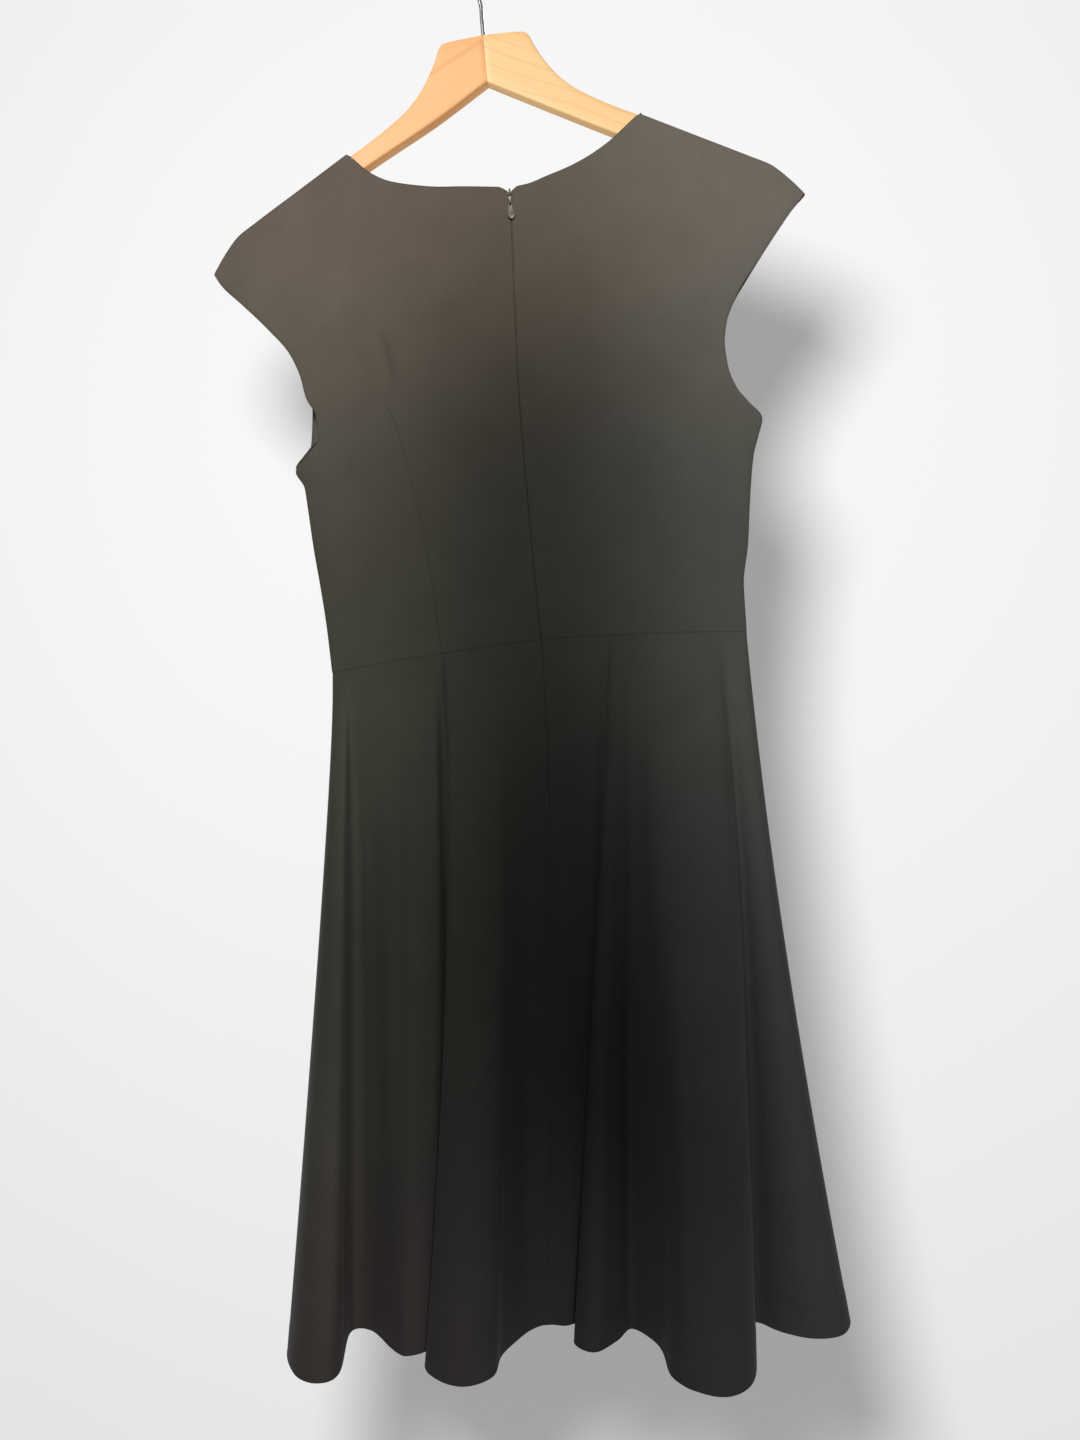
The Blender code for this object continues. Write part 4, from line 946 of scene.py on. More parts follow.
FRONT_SKIRT_CREASES = named(
    FALL_COLUMNS,
    (-0.70, 0.05, -0.72, 0.80, 0.008, 0.011, 0.0012),
    (-0.45, 0.10, -0.47, 0.70, 0.010, 0.012, 0.0014),
    (-0.14, 0.05, -0.12, 0.85, 0.008, 0.013, 0.0012),
    (0.10, 0.15, 0.09, 0.95, 0.006, 0.011, 0.0014),
    (0.36, 0.05, 0.38, 0.65, 0.010, 0.012, 0.0012),
    (0.60, 0.08, 0.58, 0.75, 0.006, 0.010, 0.0012),
    (0.82, 0.10, 0.80, 0.80, 0.006, 0.010, 0.0010),
)
FOLDS = {BACK: BACK_FOLDS, FRONT: FRONT_FOLDS}
SKIRT_CREASES = {BACK: BACK_SKIRT_CREASES, FRONT: FRONT_SKIRT_CREASES}
FOLD_STEPS = {BACK: 8, FRONT: 12}                # columns of the grid from one row to the next
SEAM_COLUMN = FOLD_STEPS[BACK] * list(BACK_FOLDS["waist"]).index(0.0)
LOW_STEP, HIGH_STEP = 3.6 * MM, 4.4 * MM         # between rows, in the hem's turning and above
TURNING_ROWS = np.array([21.5, 23.0, 24.0, 25.0, 26.5]) * MM     # round the turning's edge
WAIST_GATHER = 9 * MM            # creases set in over this height below the waist seam
ZIP_FALL, ZIP_FADE = 0.27, (0.10, 0.34)    # shares of the fall: the zip's end, and its groove's
PLAIN_GROOVE = 0.1               # how much of the groove the plain seam below the zip keeps
CREASE_METRES = (0.175, 0.30)    # half a waist in metres, and what it gains down to the hem

# %% The skirt's surface


def waist_section(place, face):
    """x, y and up on the waist seam, for places from -1 (left) to 1 (right)."""
    halves = []
    for side in SIDES:
        x, up = waist_edge(np.abs(place), side)
        halves.append(np.stack([x, face * body_depth(x, up, side, face), up]))
    return np.where(place < 0, *halves)


def skirt_levels():
    """Shares of the fall, from hem (1) to waist (0), closer at the hem and the waist seam."""
    edge, turning = EDGE_STEPS / -HEM_UP, TURNING_ROWS / -HEM_UP
    low = np.concatenate([edge, between(edge[-1], turning[0], LOW_STEP / -HEM_UP), turning])
    high = 1.0 - edge[::-1]
    inside = between(turning[-1], high[0], HIGH_STEP / -HEM_UP)
    return 1.0 - np.concatenate([low, inside, high])


LEVELS = skirt_levels()


def skirt_grid(face):
    """Points, places and falls: each column runs from the hem up to the waist.

    x = waist + (hem - waist) * fall^x_power, and the same for y with its own power.
    """
    rows = spline(np.stack(list(FOLDS[face].values()), -1), FOLD_STEPS[face])
    place, hem_x, hem_out, x_power, out_power = rows.T
    waist_x, waist_y, waist_up = waist_section(np.clip(place, -1.0, 1.0), face)
    fall = LEVELS[:, None]
    x = waist_x + (hem_x - waist_x) * fall ** x_power
    y = waist_y + (face * hem_out - waist_y) * fall ** out_power
    up = waist_up + (HEM_UP - waist_up) * fall
    return np.stack([x, y, up + WAIST_Z], -1), place + 0.0 * fall, fall + 0.0 * place


def skirt_side(face):
    """One side of the skirt, with its sinking at seams and creases, thickness and grain map."""
    grid, place, fall = skirt_grid(face)
    across, along = arc(grid, 1), arc(grid, 0)
    to_waist, to_side = along[-1:] - along, across[:, -1:] - across
    near, more = CREASE_METRES
    sink = (dip(to_waist, *WAIST_DIP)
            + dip(np.minimum(across, to_side), *SIDE_DIP)
            + creases(SKIRT_CREASES[face], place, fall, near + more * fall)
            * ease(0.0, WAIST_GATHER, to_waist)
            - HEM_LIFT * ease(*HEM_RIDGE, along))
    seams = [across, to_side, to_waist]
    if face == BACK:
        from_centre = np.abs(across - across[:, SEAM_COLUMN:SEAM_COLUMN + 1])
        groove = 1.0 - (1.0 - PLAIN_GROOVE) * ease(*ZIP_FADE, fall)
        sink += dip(from_centre, *CENTRE_DIP) * groove
        seams.append(from_centre)
    double = np.maximum(ease(*SEAM_TURNING, np.minimum.reduce(seams)), ease(*HEM_STEP, along))
    thickness = CREPE_WALL + TURNING * double
    thickness[-1] = thickness[:, 0] = thickness[:, -1] = SEWN
    if face == BACK:
        thickness[LEVELS > ZIP_FALL, SEAM_COLUMN] = SEWN
    flat = np.stack([across - across[:, across.shape[1] // 2, None], along], -1)
    return grid, sink, thickness, flat


def skirt_normals(grids):
    """Normals of both sides, each worked out with a column of the other beyond its side seams."""
    result = {}
    for face in FACES:
        grid, other = grids[face], grids[-face]
        wide = np.concatenate([other[:, 1:2], grid, other[:, -2:-1]], axis=1)
        result[face] = facing(vertex_normals(wide), face)[:, 1:-1]
        for end in (0, -1):
            flatten(result[face], (end, slice(None)), 2)
        for end in (0, -1):
            flatten(result[face], (slice(None), end), 1)
    return result


# %% The pieces of the skirt


def make_skirts():
    """Front skirt in one piece and back skirt in two, meeting at the side seams."""
    sides = {face: skirt_side(face) for face in FACES}
    grids = {face: sides[face][0] for face in FACES}
    normals = skirt_normals(grids)
    grids = {face: grids[face] - normals[face] * sides[face][1][..., None] for face in FACES}
    normals = skirt_normals(grids)
    for face in FACES:
        grids[face][..., 1] += face * JOIN
        grids[face][-1, :, 2] -= JOIN
    crepe_piece("front_skirt", grids[FRONT], normals[FRONT], *sides[FRONT][2:], FRONT)
    flatten(normals[BACK], (slice(None), SEAM_COLUMN), 0)
    whole = (grids[BACK], normals[BACK], *sides[BACK][2:])
    for side, part in ((LEFT, slice(0, SEAM_COLUMN + 1)), (RIGHT, slice(SEAM_COLUMN, None))):
        crepe_piece(f"back_skirt_{SIDE_NAME[side]}", *(array[:, part] for array in whole), BACK)
    return grids[BACK], normals[BACK]


BACK_SKIRT = make_skirts()

# %% [markdown]
# ## Rounded solids
# The hanger, the hook and the zip's metal are all made as sleeves: a ring of points carried
# along a path, with a lid of quads where the sleeve is cut, and a point where it closes. The
# points that fall together at a tip are merged, and all the faces turned outwards.

# %% Sleeves, lids and pebbles
import bmesh

WELD = 0.001 * MM                # points nearer than this are merged


def sleeve(rings, lids=(True, True)):
    """Quads between rings that close on themselves, and quads laid across the end rings."""
    count, around = rings.shape[:2]
    place = np.arange(count * around).reshape(count, around)
    turned = np.roll(place, -1, axis=1)
    faces = [np.stack([place[:-1], turned[:-1], turned[1:], place[1:]], -1).reshape(-1, 4)]
    half = around // 2
    for ring, wanted in zip((place[0], place[-1]), lids):
        if wanted:
            far = ring[::-1]
            corners = (ring[:half - 1], ring[1:half], far[1:half], far[:half - 1])
            faces.append(np.stack(corners, -1))
    return rings.reshape(-1, 3), np.concatenate(faces)


def gathered(parts):
    """Several meshes as one: each one's faces count on from the points before it."""
    points, faces, count = [], [], 0
    for part_points, part_faces in parts:
        points.append(part_points)
        faces.append(part_faces + count)
        count += len(part_points)
    return np.concatenate(points), np.concatenate(faces)


def squared(value, power):
    """A sine or cosine with its swing made squarer: sign(c) * |c|^power."""
    return np.sign(value) * np.abs(value) ** power


def pebble(middle, half, squareness, around=24, rings=13):
    """A rounded block: each coordinate is half * sign(c) * |c|^(2 / squareness) of a sphere."""
    polar, turn = np.linspace(0.0, math.pi, rings)[:, None], full_circle(around)
    ball = np.stack([np.sin(polar) * np.cos(turn), np.sin(polar) * np.sin(turn),
                     np.cos(polar) + 0 * turn], -1)
    return sleeve(np.array(middle) + np.array(half) * squared(ball, 2 / squareness))


def solid(name, parts, material, crisp, **where):
    """A rigid piece: welded at its tips, and crisp where it turns by over so many degrees."""
    made = piece(name, *gathered(parts), material, **where)
    model = bmesh.new()
    model.from_mesh(made.data)
    bmesh.ops.remove_doubles(model, verts=model.verts, dist=WELD)
    bmesh.ops.recalc_face_normals(model, faces=model.faces)
    model.to_mesh(made.data)
    model.free()
    made.data.set_sharp_from_angle(angle=math.radians(crisp))
    print(name, len(made.data.polygons), "faces")
    return made


# %% [markdown]
# ## Wood, wire and zip finishes
# Pale wood shows its yearly rings as thin darker lines along the board. They are made as a
# sine of the distance across the board, bent by slow noise so that no two lie alike, and
# sharpened by a power. The left arm was cut flat to the rings, so it is plainer and warmer.
# The plated wire needs little more than its gloss. The zip's metal is lacquered dark grey,
# and its tape is a fine herringbone.

# %% Wood
ARM_SLOPE = math.radians(27.0)   # slope of the arms' lower edges
BOARD_TILT, RING_BEND = 0.3, 0.011               # of the rings through the board, and along it
JOINT_HALF, GLUE = 0.16 * MM, (0.30, 0.13, 0.05, 1)
GLUE_MARK = (0.0022, 0.4925)     # a rough spot beside the glued joint: from the middle, and up
MARK_HALF, SPECKS = (4.0 * MM, 6.0 * MM), 900.0
# Features per metre of each noise: along the board, and across it
GRAIN = {"slow": (9.0, 30.0), "patchy": (22.0, 160.0), "fibre": (90.0, 2600.0),
         "cloud": (16.0, 60.0)}


def make_wood(name, pale, dark, line, spacing, thin, seed, depth):
    """Colour = pale, clouded by dark, with lines sin(across / spacing)^thin and fine pores."""
    finish = Finish(name, Roughness=0.46, Specular_IOR_Level=0.35, Coat_Weight=0.08,
                    Coat_Roughness=0.28)
    x, y, z = finish.parts(finish.place())
    out, up = abs(x), z - WAIST_Z
    across = up * math.cos(ARM_SLOPE) + out * math.sin(ARM_SLOPE)
    along = out * math.cos(ARM_SLOPE) - up * math.sin(ARM_SLOPE)

    def grain(kind, third, detail=2.0):
        """One of the noises, with what it takes for its third coordinate."""
        per_along, per_across = GRAIN[kind]
        place = finish.vector(along * per_along, across * per_across, third)
        return finish.noise(place, detail=detail)

    bent = across + BOARD_TILT * y + RING_BEND * grain("slow", y * 12.0 + seed)
    ring = ((bent * (2 * math.pi / spacing)).sine() * 0.5 + 0.5) ** thin
    patchy, fibre = grain("patchy", seed, 3.0), grain("fibre", y * GRAIN["fibre"][1])
    cloud = (2.0 * grain("cloud", seed) - 0.5).clipped()
    base = finish.mix((0.65 * cloud + 0.35 * fibre).clipped(), pale, dark)
    lined = finish.mix((ring * (0.35 + 0.9 * patchy) * depth).clipped(), base, line)

    from_mark = finish.vector((x + GLUE_MARK[0]) / MARK_HALF[0],
                              (up - GLUE_MARK[1]) / MARK_HALF[1])
    to_mark = finish.node("ShaderNodeVectorMath", {"operation": "LENGTH"}, {0: from_mark}, "Value")
    speck = finish.noise(finish.vector(x * SPECKS, up * SPECKS))
    mark = ((1.0 - to_mark).clipped() * (4.0 * speck - 1.9).clipped()).clipped()
    joint = abs(x) < JOINT_HALF
    finish.colour((0.55 * joint + 0.5 * mark).clipped(), lined, GLUE)
    finish.feed("Roughness", 0.36 + 0.16 * fibre + 0.05 * ring)
    finish.relief(fibre - 0.5 * ring * patchy, 0.02 * MM, 0.5)
    return finish.material


WOODS = {                        # colours: pale, dark and line; then spacing, thin, seed, depth
    LEFT: make_wood("wood_left", (0.88, 0.465, 0.188, 1), (0.86, 0.418, 0.161, 1),
                    (0.60, 0.27, 0.10, 1), 0.034, 30.0, 3.0, 0.45),
    RIGHT: make_wood("wood_right", (0.88, 0.56, 0.255, 1), (0.86, 0.51, 0.215, 1),
                     (0.62, 0.31, 0.12, 1), 0.0105, 26.0, 8.0, 0.42),
}
print("finishes:", [wood.name for wood in WOODS.values()])

# %% Wire, lacquer and tape
# Two tones of each finish, darker first
PLATING = (0.70, 0.68, 0.70, 1), (0.80, 0.79, 0.80, 1)
LACQUER_TONES = (0.013, 0.0127, 0.0124, 1), (0.034, 0.033, 0.032, 1)
TAPE_TONES = (0.010, 0.010, 0.010, 1), (0.026, 0.025, 0.024, 1)
NYLON_TONES = (0.012, 0.012, 0.012, 1), (0.03, 0.03, 0.03, 1)
HERRINGBONE, RIB = 1.2 * MM, 0.45 * MM           # a stripe's width, and from rib to rib


def make_plated():
    """Bright plating, with the faint lengthwise lines that drawing leaves in the wire."""
    finish = Finish("plated_wire", Metallic=1.0)
    x, y, z = finish.parts(finish.place())
    drawn = finish.noise(finish.vector(x * 9000.0, y * 9000.0, z * 60.0))
    finish.colour(drawn, *PLATING)
    finish.feed("Roughness", 0.10 + 0.10 * drawn)
    finish.relief(drawn, 0.004 * MM, 0.4)
    return finish.material


def make_lacquer():
    """Dark grey lacquer on die-cast metal: slightly orange-peeled, rubbed paler in places."""
    finish = Finish("zip_lacquer", Metallic=0.1, Coat_Weight=0.15, Coat_Roughness=0.25,
                    Specular_IOR_Level=0.25)
    place = finish.place()
    peel = finish.noise(place, 2500.0)
    rubbed = (3.0 * finish.noise(place, 420.0, 3.0) - 1.35).clipped()
    finish.colour(rubbed, *LACQUER_TONES)
    finish.feed("Roughness", 0.42 + 0.18 * peel)
    finish.relief(peel, 0.01 * MM, 0.5)
    return finish.material


def make_tape_finish():
    """Herringbone: ribs that slope one way and then the other, in stripes along the tape."""
    finish = Finish("zip_tape_weave", Roughness=0.74, Sheen_Weight=0.15, Specular_IOR_Level=0.25)
    across, along, _ = finish.parts(finish.laid_flat())
    rib = ((along + across.folded(HERRINGBONE)) * (2 * math.pi / RIB)).sine() * 0.5 + 0.5
    fuzz = finish.noise(finish.vector(across, along), 5200.0)
    finish.colour((0.6 * rib + 0.4 * fuzz).clipped(), *TAPE_TONES)
    finish.relief(0.7 * rib + 0.3 * fuzz, 0.12 * MM, 0.7)
    return finish.material


def make_coil_finish():
    """Black nylon: a satin thread, a little uneven along its length."""
    finish = Finish("zip_coil", Roughness=0.4, Specular_IOR_Level=0.5)
    streak = finish.noise(finish.place(), 1800.0)
    finish.colour(streak, *NYLON_TONES)
    return finish.material


PLATED, LACQUER = make_plated(), make_lacquer()
TAPE_CLOTH, NYLON = make_tape_finish(), make_coil_finish()
print("finishes:", PLATED.name, LACQUER.name, TAPE_CLOTH.name, NYLON.name)

# %% [markdown]
# ## The hanger
# A wooden top hanger is two arms, shaped from board and glued together under the hook. A
# board with bevelled edges could come from an outline and modifiers, but its round end and
# hollow neck would get uneven faces. Each arm is one sleeve instead: at every station along
# it, a ring goes over the rounded top edge, down the front, under the lower edge and up the
# back, and at the round end the sleeve closes in a line.

# %% Sizes of the hanger
BOARD, BOARD_BEVEL = 11.0 * MM, 1.4 * MM
BLOCK_TOP_UP, BLOCK_LOW_UP = 0.5049, 0.4658
ARM_UNDER = 2.4 * MM             # from the outside of the shoulder seam down to the wood
ARM_STRAIGHT = np.array([0.145, 0.165, 0.185, 0.2115])
ARM_END = 7.5 * MM
JOINT_GROOVE = 0.25 * MM
END_STEPS, BEVEL_STEPS, FACE_STEPS = 9, 5, 6     # points round the end, over an edge, over a face

ARM_TOP = named(
    "out up",
    (0.0335, 0.5027), (0.0372, 0.5000), (0.0415, 0.4905), (0.0500, 0.4748), (0.0600, 0.4614),
    (0.0700, 0.4518), (0.0850, 0.4412), (0.1000, 0.4322), (0.1200, 0.4213),
)
ARM_LOW = named(
    "out left right",
    (0.0460, 0.4400, 0.4395), (0.0950, 0.4163, 0.4118), (0.1300, 0.3985, 0.3925),
    (0.1700, 0.3790, 0.3740),
)
# Shares of an arm's length, closer at the joint and where the neck of the hanger bends
ARM_STATIONS = np.concatenate([[0.0, 0.0012], np.linspace(0.02, 0.152, 8),
                               np.linspace(0.158, 0.2, 13), np.linspace(0.21, 1.0, 44)])

# %% The arms


def arm_edges(side):
    """(out, up) along the upper and the lower edge, and the way out of the board at each."""
    seam = np.stack([SHOULDER["out"], SHOULDER[SIDE_NAME[side]]], -1)
    along = unit(seam[2] - seam[0])
    square = np.array([-along[1], along[0]])
    rest = seam[0] - square * ARM_UNDER
    straight = rest + along * ((ARM_STRAIGHT - rest[0]) / along[0])[:, None]
    middle = straight[-1] - square * ARM_END
    curved = np.stack([ARM_TOP["out"], ARM_TOP["up"]], -1)
    top = np.vstack([(0.0, BLOCK_TOP_UP), curved, straight])
    curved = np.stack([ARM_LOW["out"], ARM_LOW[SIDE_NAME[side]]], -1)
    low = np.vstack([(0.0, BLOCK_LOW_UP), curved, middle - square * ARM_END])
    turns = np.linspace(0.0, math.pi / 2, END_STEPS)[1:, None]
    edges = []
    for chain, sign in ((top, 1), (low, -1)):
        outs = ARM_STATIONS * chain[-1, 0]
        run = np.stack([outs, smooth(chain[:, 0], chain[:, 1], outs)], -1)
        end = middle + ARM_END * (sign * square * np.cos(turns) + along * np.sin(turns))
        line = np.concatenate([run, end])
        step = np.gradient(line, axis=0)
        normal = sign * unit(np.stack([-step[:, 1], step[:, 0]], -1))
        normal[0], normal[-1] = (0.0, sign), along
        edges.append((line, normal))
    return edges


def make_arm(side):
    """Rings over the two rounded edges.

    Each is edge - normal * bevel * (1 - cos(turn)), with y = half - bevel * (1 - sin(turn)).
    """
    turns = np.linspace(0.0, math.pi / 2, BEVEL_STEPS)
    inset, y = BOARD_BEVEL * (1 - np.cos(turns)), BOARD / 2 - BOARD_BEVEL * (1 - np.sin(turns))
    inset, y = np.concatenate([inset[::-1], inset]), np.concatenate([-y[::-1], y])
    (upper, up_normal), (lower, low_normal) = arm_edges(side)
    over = upper[:, None] - up_normal[:, None] * inset[:, None]
    under = lower[:, None] - low_normal[:, None] * inset[:, None]
    share = np.linspace(0.0, 1.0, FACE_STEPS)[1:-1, None]
    front = over[:, -1:] + (under[:, :1] - over[:, -1:]) * share
    back = under[:, -1:] + (over[:, :1] - under[:, -1:]) * share
    flat = np.concatenate([over, front, under, back], axis=1)
    half = np.full(len(share), BOARD / 2)
    depth = np.concatenate([y, half, -y, -half])
    out, up = flat[..., 0], flat[..., 1]
    rings = np.stack([side * (out + JOIN), depth + 0 * out, up + WAIST_Z], -1)
    rings[0, :, 1] *= 1.0 - JOINT_GROOVE / (BOARD / 2)
    name = f"hanger_arm_{SIDE_NAME[side]}"
    return solid(f"{name}_wood", [sleeve(rings)], WOODS[side], 40, replaces=[name], slot="wood")


for side in SIDES:
    make_arm(side)

# %% [markdown]
# ## The hook
# The hook is one length of plated wire: a shank that screws into the block, and an open
# bend. The path lies in one plane, so a circle square to it needs only the path's own
# direction. The free end is filed round: the last circles shrink as a hemisphere does.

# %% The hook
WIRE, HOOK_RADIUS, HOOK_RISE = 1.9 * MM, 0.021, 0.060
HOOK_TURN = (225.0, -25.0)       # degrees round the bend, from the shank to the wire's end
WIRE_AROUND, SHANK_STEPS, BEND_STEPS, TIP_STEPS = 28, 14, 90, 9
SHANK = [(0.0, -0.0200), (0.0, 0.0), (0.0, 0.0140), (0.0, 0.0285), (-0.0038, 0.0390)]


def wire_rings(path, radii):
    """Circles square to a path in the plane y = 0: middle + radius * (across * cos + y * sin)."""
    along = unit(np.gradient(path, axis=0))
    across = np.stack([-along[:, 1], along[:, 0]], -1)
    turn = full_circle(WIRE_AROUND)
    flat = path[:, None] + (radii[:, None] * np.cos(turn))[..., None] * across[:, None]
    return np.stack([flat[..., 0], radii[:, None] * np.sin(turn), flat[..., 1]], -1)


def make_hook():
    """Shank by a spline, and bend by an arc.

    On the arc x = radius * cos(turn) and height = rise + radius * sin(turn).
    """
    tip = np.linspace(0.0, 1.0, TIP_STEPS)
    tip_turn = math.degrees(WIRE / HOOK_RADIUS)
    round_bend = np.linspace(HOOK_TURN[0], HOOK_TURN[1] + tip_turn, BEND_STEPS)[:-1]
    at_tip = HOOK_TURN[1] + tip_turn * (1 - np.sin(tip * math.pi / 2))
    turns = np.radians(np.concatenate([round_bend, at_tip]))
    bend = np.stack([HOOK_RADIUS * np.cos(turns), HOOK_RISE + HOOK_RADIUS * np.sin(turns)], -1)
    path = np.concatenate([spline(np.concatenate([SHANK, bend[:1]]), SHANK_STEPS)[:-1], bend])
    radii = np.full(len(path), WIRE)
    radii[-len(tip):] = WIRE * np.cos(tip * math.pi / 2)
    rings = wire_rings(path + (0.0, BLOCK_TOP_UP + WAIST_Z), radii)
    return solid("hook_wire", [sleeve(rings, (True, False))], PLATED, 50,
                 replaces=["hanger_hook"], slot="hook_wire")


make_hook()

# %% [markdown]
# ## The zip
# The dress closes with an invisible zip: its nylon coil is sewn along the edge of each tape
# and faces inwards, so from outside only the seam, the slider's neck and its small pull
# show. The tapes are shells laid under the cloth beside the seam. Each coil is a helix,
# drawn with few faces because it turns four hundred times.

# %% Tapes
ZIP_END_UP, ZIP_TOP_RISE = -0.150, 0.987
TAPE_ACROSS = np.array([0.25, 1.0, 2.2, 4.0, 6.5, 9.0, 11.0, 12.0]) * MM
TAPE_WALL = 0.5 * MM
UNDER_CLOTH = CREPE_WALL + TURNING + 0.12 * MM
NEAR_SEAM, WAIST_CLEAR = 13, 0.004               # columns taken beside the seam, and rise left out


def beside_seam(grid, normals):
    """Points and normals of a panel at the tape's distances from its centre edge."""
    across = arc(grid, 1)
    found = [np.stack([np.interp(TAPE_ACROSS, across[k], values[k, :, i]) for i in range(3)], -1)
             for values in (grid, normals) for k in range(len(grid))]
    return np.array(found[:len(grid)]), unit(np.array(found[len(grid):]))


def tape_surface(side):
    """The strip under the back beside its centre seam, from low in the skirt up to the neck."""
    low = LEVELS <= ZIP_END_UP / HEM_UP
    near = slice(SEAM_COLUMN, SEAM_COLUMN + NEAR_SEAM * side, side)
    rows = (ROWS > WAIST_CLEAR) & (ROWS < ZIP_TOP_RISE)
    lower = beside_seam(*(array[low, near][:-3] for array in BACK_SKIRT))
    upper = beside_seam(*(array[rows] for array in BACKS[side][1:]))
    grid, square = (np.concatenate(pair) for pair in zip(lower, upper))
    return grid - square * UNDER_CLOTH, square


def make_tape(side):
    """A shell of even thickness, whose grain map is the distances across and along the tape."""
    grid, square = tape_surface(side)
    along = arc(grid, 0)
    flat = np.stack([side * (TAPE_ACROSS + 0 * along), along], -1)
    points, faces, maps = shell(grid, square, np.full(grid.shape[:2], TAPE_WALL), flat)
    name = f"zip_tape_{SIDE_NAME[side]}"
    print(f"{name}: {area(grid):.5f} m2, {along.max():.3f} m long")
    made = piece(f"{name}_woven", points, faces, TAPE_CLOTH, maps, replaces=[name],
                 slot="zip_tape")
    return made, grid, square


TAPES = {side: make_tape(side) for side in SIDES}

# %% Coils
COIL_PITCH, COIL_STEPS, COIL_AROUND = 1.35 * MM, 9, 6
COIL_WIDE, COIL_DEEP, COIL_THREAD = 1.0 * MM, 0.62 * MM, 0.24 * MM
COIL_TOP_UP = 0.3560
COIL_START = {LEFT: 0.5, RIGHT: 0.0}             # the left coil is half a turn ahead, to mesh


def make_coil(side, grid, square):
    """Helix: middle + wide * cos(turn) * across + deep * sin(turn) * square, one pitch a turn."""
    rows = grid[:, 1, 2] - WAIST_Z < COIL_TOP_UP
    middle = (grid - square * (TAPE_WALL + COIL_DEEP + COIL_THREAD))[rows, 1]
    square = square[rows, 1]
    length = arc(middle[:, None], 0)[:, 0]
    turns = int(length[-1] / COIL_PITCH) - 1
    at = (np.arange(turns * COIL_STEPS) / COIL_STEPS + COIL_START[side]) * COIL_PITCH
    middle, square = (np.stack([np.interp(at, length, values[:, k]) for k in range(3)], -1)
                      for values in (middle, square))
    turn = (at / COIL_PITCH * 2 * math.pi)[:, None]
    across = np.array([side, 0.0, 0.0])
    helix = middle + COIL_WIDE * np.cos(turn) * across + COIL_DEEP * np.sin(turn) * square
    along = unit(np.gradient(helix, axis=0))
    first = unit(helix - middle)
    first, second = first[:, None], np.cross(along, first)[:, None]
    ring = full_circle(COIL_AROUND)[:, None]
    rings = helix[:, None] + COIL_THREAD * (np.cos(ring) * first + np.sin(ring) * second)
    return piece(f"zip_coil_{SIDE_NAME[side]}", *sleeve(rings), NYLON, slot="zip_tape")


COILS = {side: make_coil(side, *TAPES[side][1:]) for side in SIDES}
print("coil faces:", [len(coil.data.polygons) for coil in COILS.values()])

# %% [markdown]
# ## The slider and its pull
# The slider runs inside the dress. Only its neck stands out through the slit, with the pin
# that carries the drop-shaped pull. The pull is a flat ring: lines run from the rim of its
# small window to its outline, over a raised border, and back along the other side. It turns
# about the pin, so it rides on a body of its own.

# %% Slider
SLIDER_UP, PIN_UP, PIN_OFF = 0.3618, 0.3640, 2.3 * MM
PIN_RADIUS, PIN_HALF, LUG_RADIUS, LUG_HALF = 0.5 * MM, 2.1 * MM, 1.2 * MM, 0.5 * MM
PIN_X = float(smooth(CENTRE_LINE["up"], CENTRE_LINE["x"], PIN_UP))
PIN_CLEAR = 0.15 * MM
CLOTH_Y = -float(body_depth(np.array(PIN_X), np.array(PIN_UP), RIGHT, BACK)) - PIN_CLEAR
PIN = np.array([PIN_X, CLOTH_Y - PIN_OFF, PIN_UP + WAIST_Z])

# Blocks of the slider in millimetres: from the body's middle, half size, and squareness
SLIDER_BLOCKS = {
    "body": ((0, 0, 0), (2.8, 1.3, 4.0), 5.0),
    "wings": ((0, -0.8, 1.2), (2.3, 0.5, 2.4), 4.0),
    "crown": ((0, -1.4, 5.9), (0.85, 0.8, 3.1), 3.0),
}
BODY_SUNK = 4.4 * MM             # from the cloth's outside in to the middle of the body


def make_slider():
    """Rounded blocks for the body, wings, crown and neck, and a pin across the neck."""
    middle = np.array([PIN_X, CLOTH_Y + BODY_SUNK, SLIDER_UP + WAIST_Z])
    neck_y = (middle[1] + PIN[1]) / 2
    neck_half = (LUG_HALF, abs(neck_y - PIN[1]) + 0.9 * LUG_RADIUS, LUG_RADIUS)
    parts = [pebble(middle + np.array(place) * MM, np.array(half) * MM, squareness)
             for place, half, squareness in SLIDER_BLOCKS.values()]
    parts += [pebble((PIN_X, neck_y, PIN[2]), neck_half, 3.0),
              pebble(PIN, (PIN_HALF, PIN_RADIUS, PIN_RADIUS), 2.6)]
    return solid("zip_slider_metal", parts, LACQUER, 60, replaces=["zip_slider"], slot="zip_metal")


make_slider()

# %% Pull
# The right half of the drop's outline, from its top edge, over its waist, to its tip
PULL = [(0.0012, 0.0), (0.0016, -0.0012), (0.0016, -0.0030), (0.0014, -0.0065),
        (0.0019, -0.0095), (0.0026, -0.0125), (0.0031, -0.0155), (0.0027, -0.0182),
        (0.0014, -0.0201), (0.0, -0.0206)]
EYE_DOWN, WINDOW_DOWN, WINDOW_HALF = 1.6 * MM, 8.5 * MM, (0.6 * MM, 1.3 * MM)
PULL_HALF, PULL_SUNK = 0.5 * MM, 0.16 * MM
PULL_STEPS, TOP_POINTS, TOP_LEFT_OUT = 8, 7, 6   # the eye's end replaces the outline's first
EAR_FROM, EAR_TO, EAR_BORE = 0.8 * MM, 1.8 * MM, 0.8 * MM
EAR_AROUND, EAR_SECTION = 33, 12

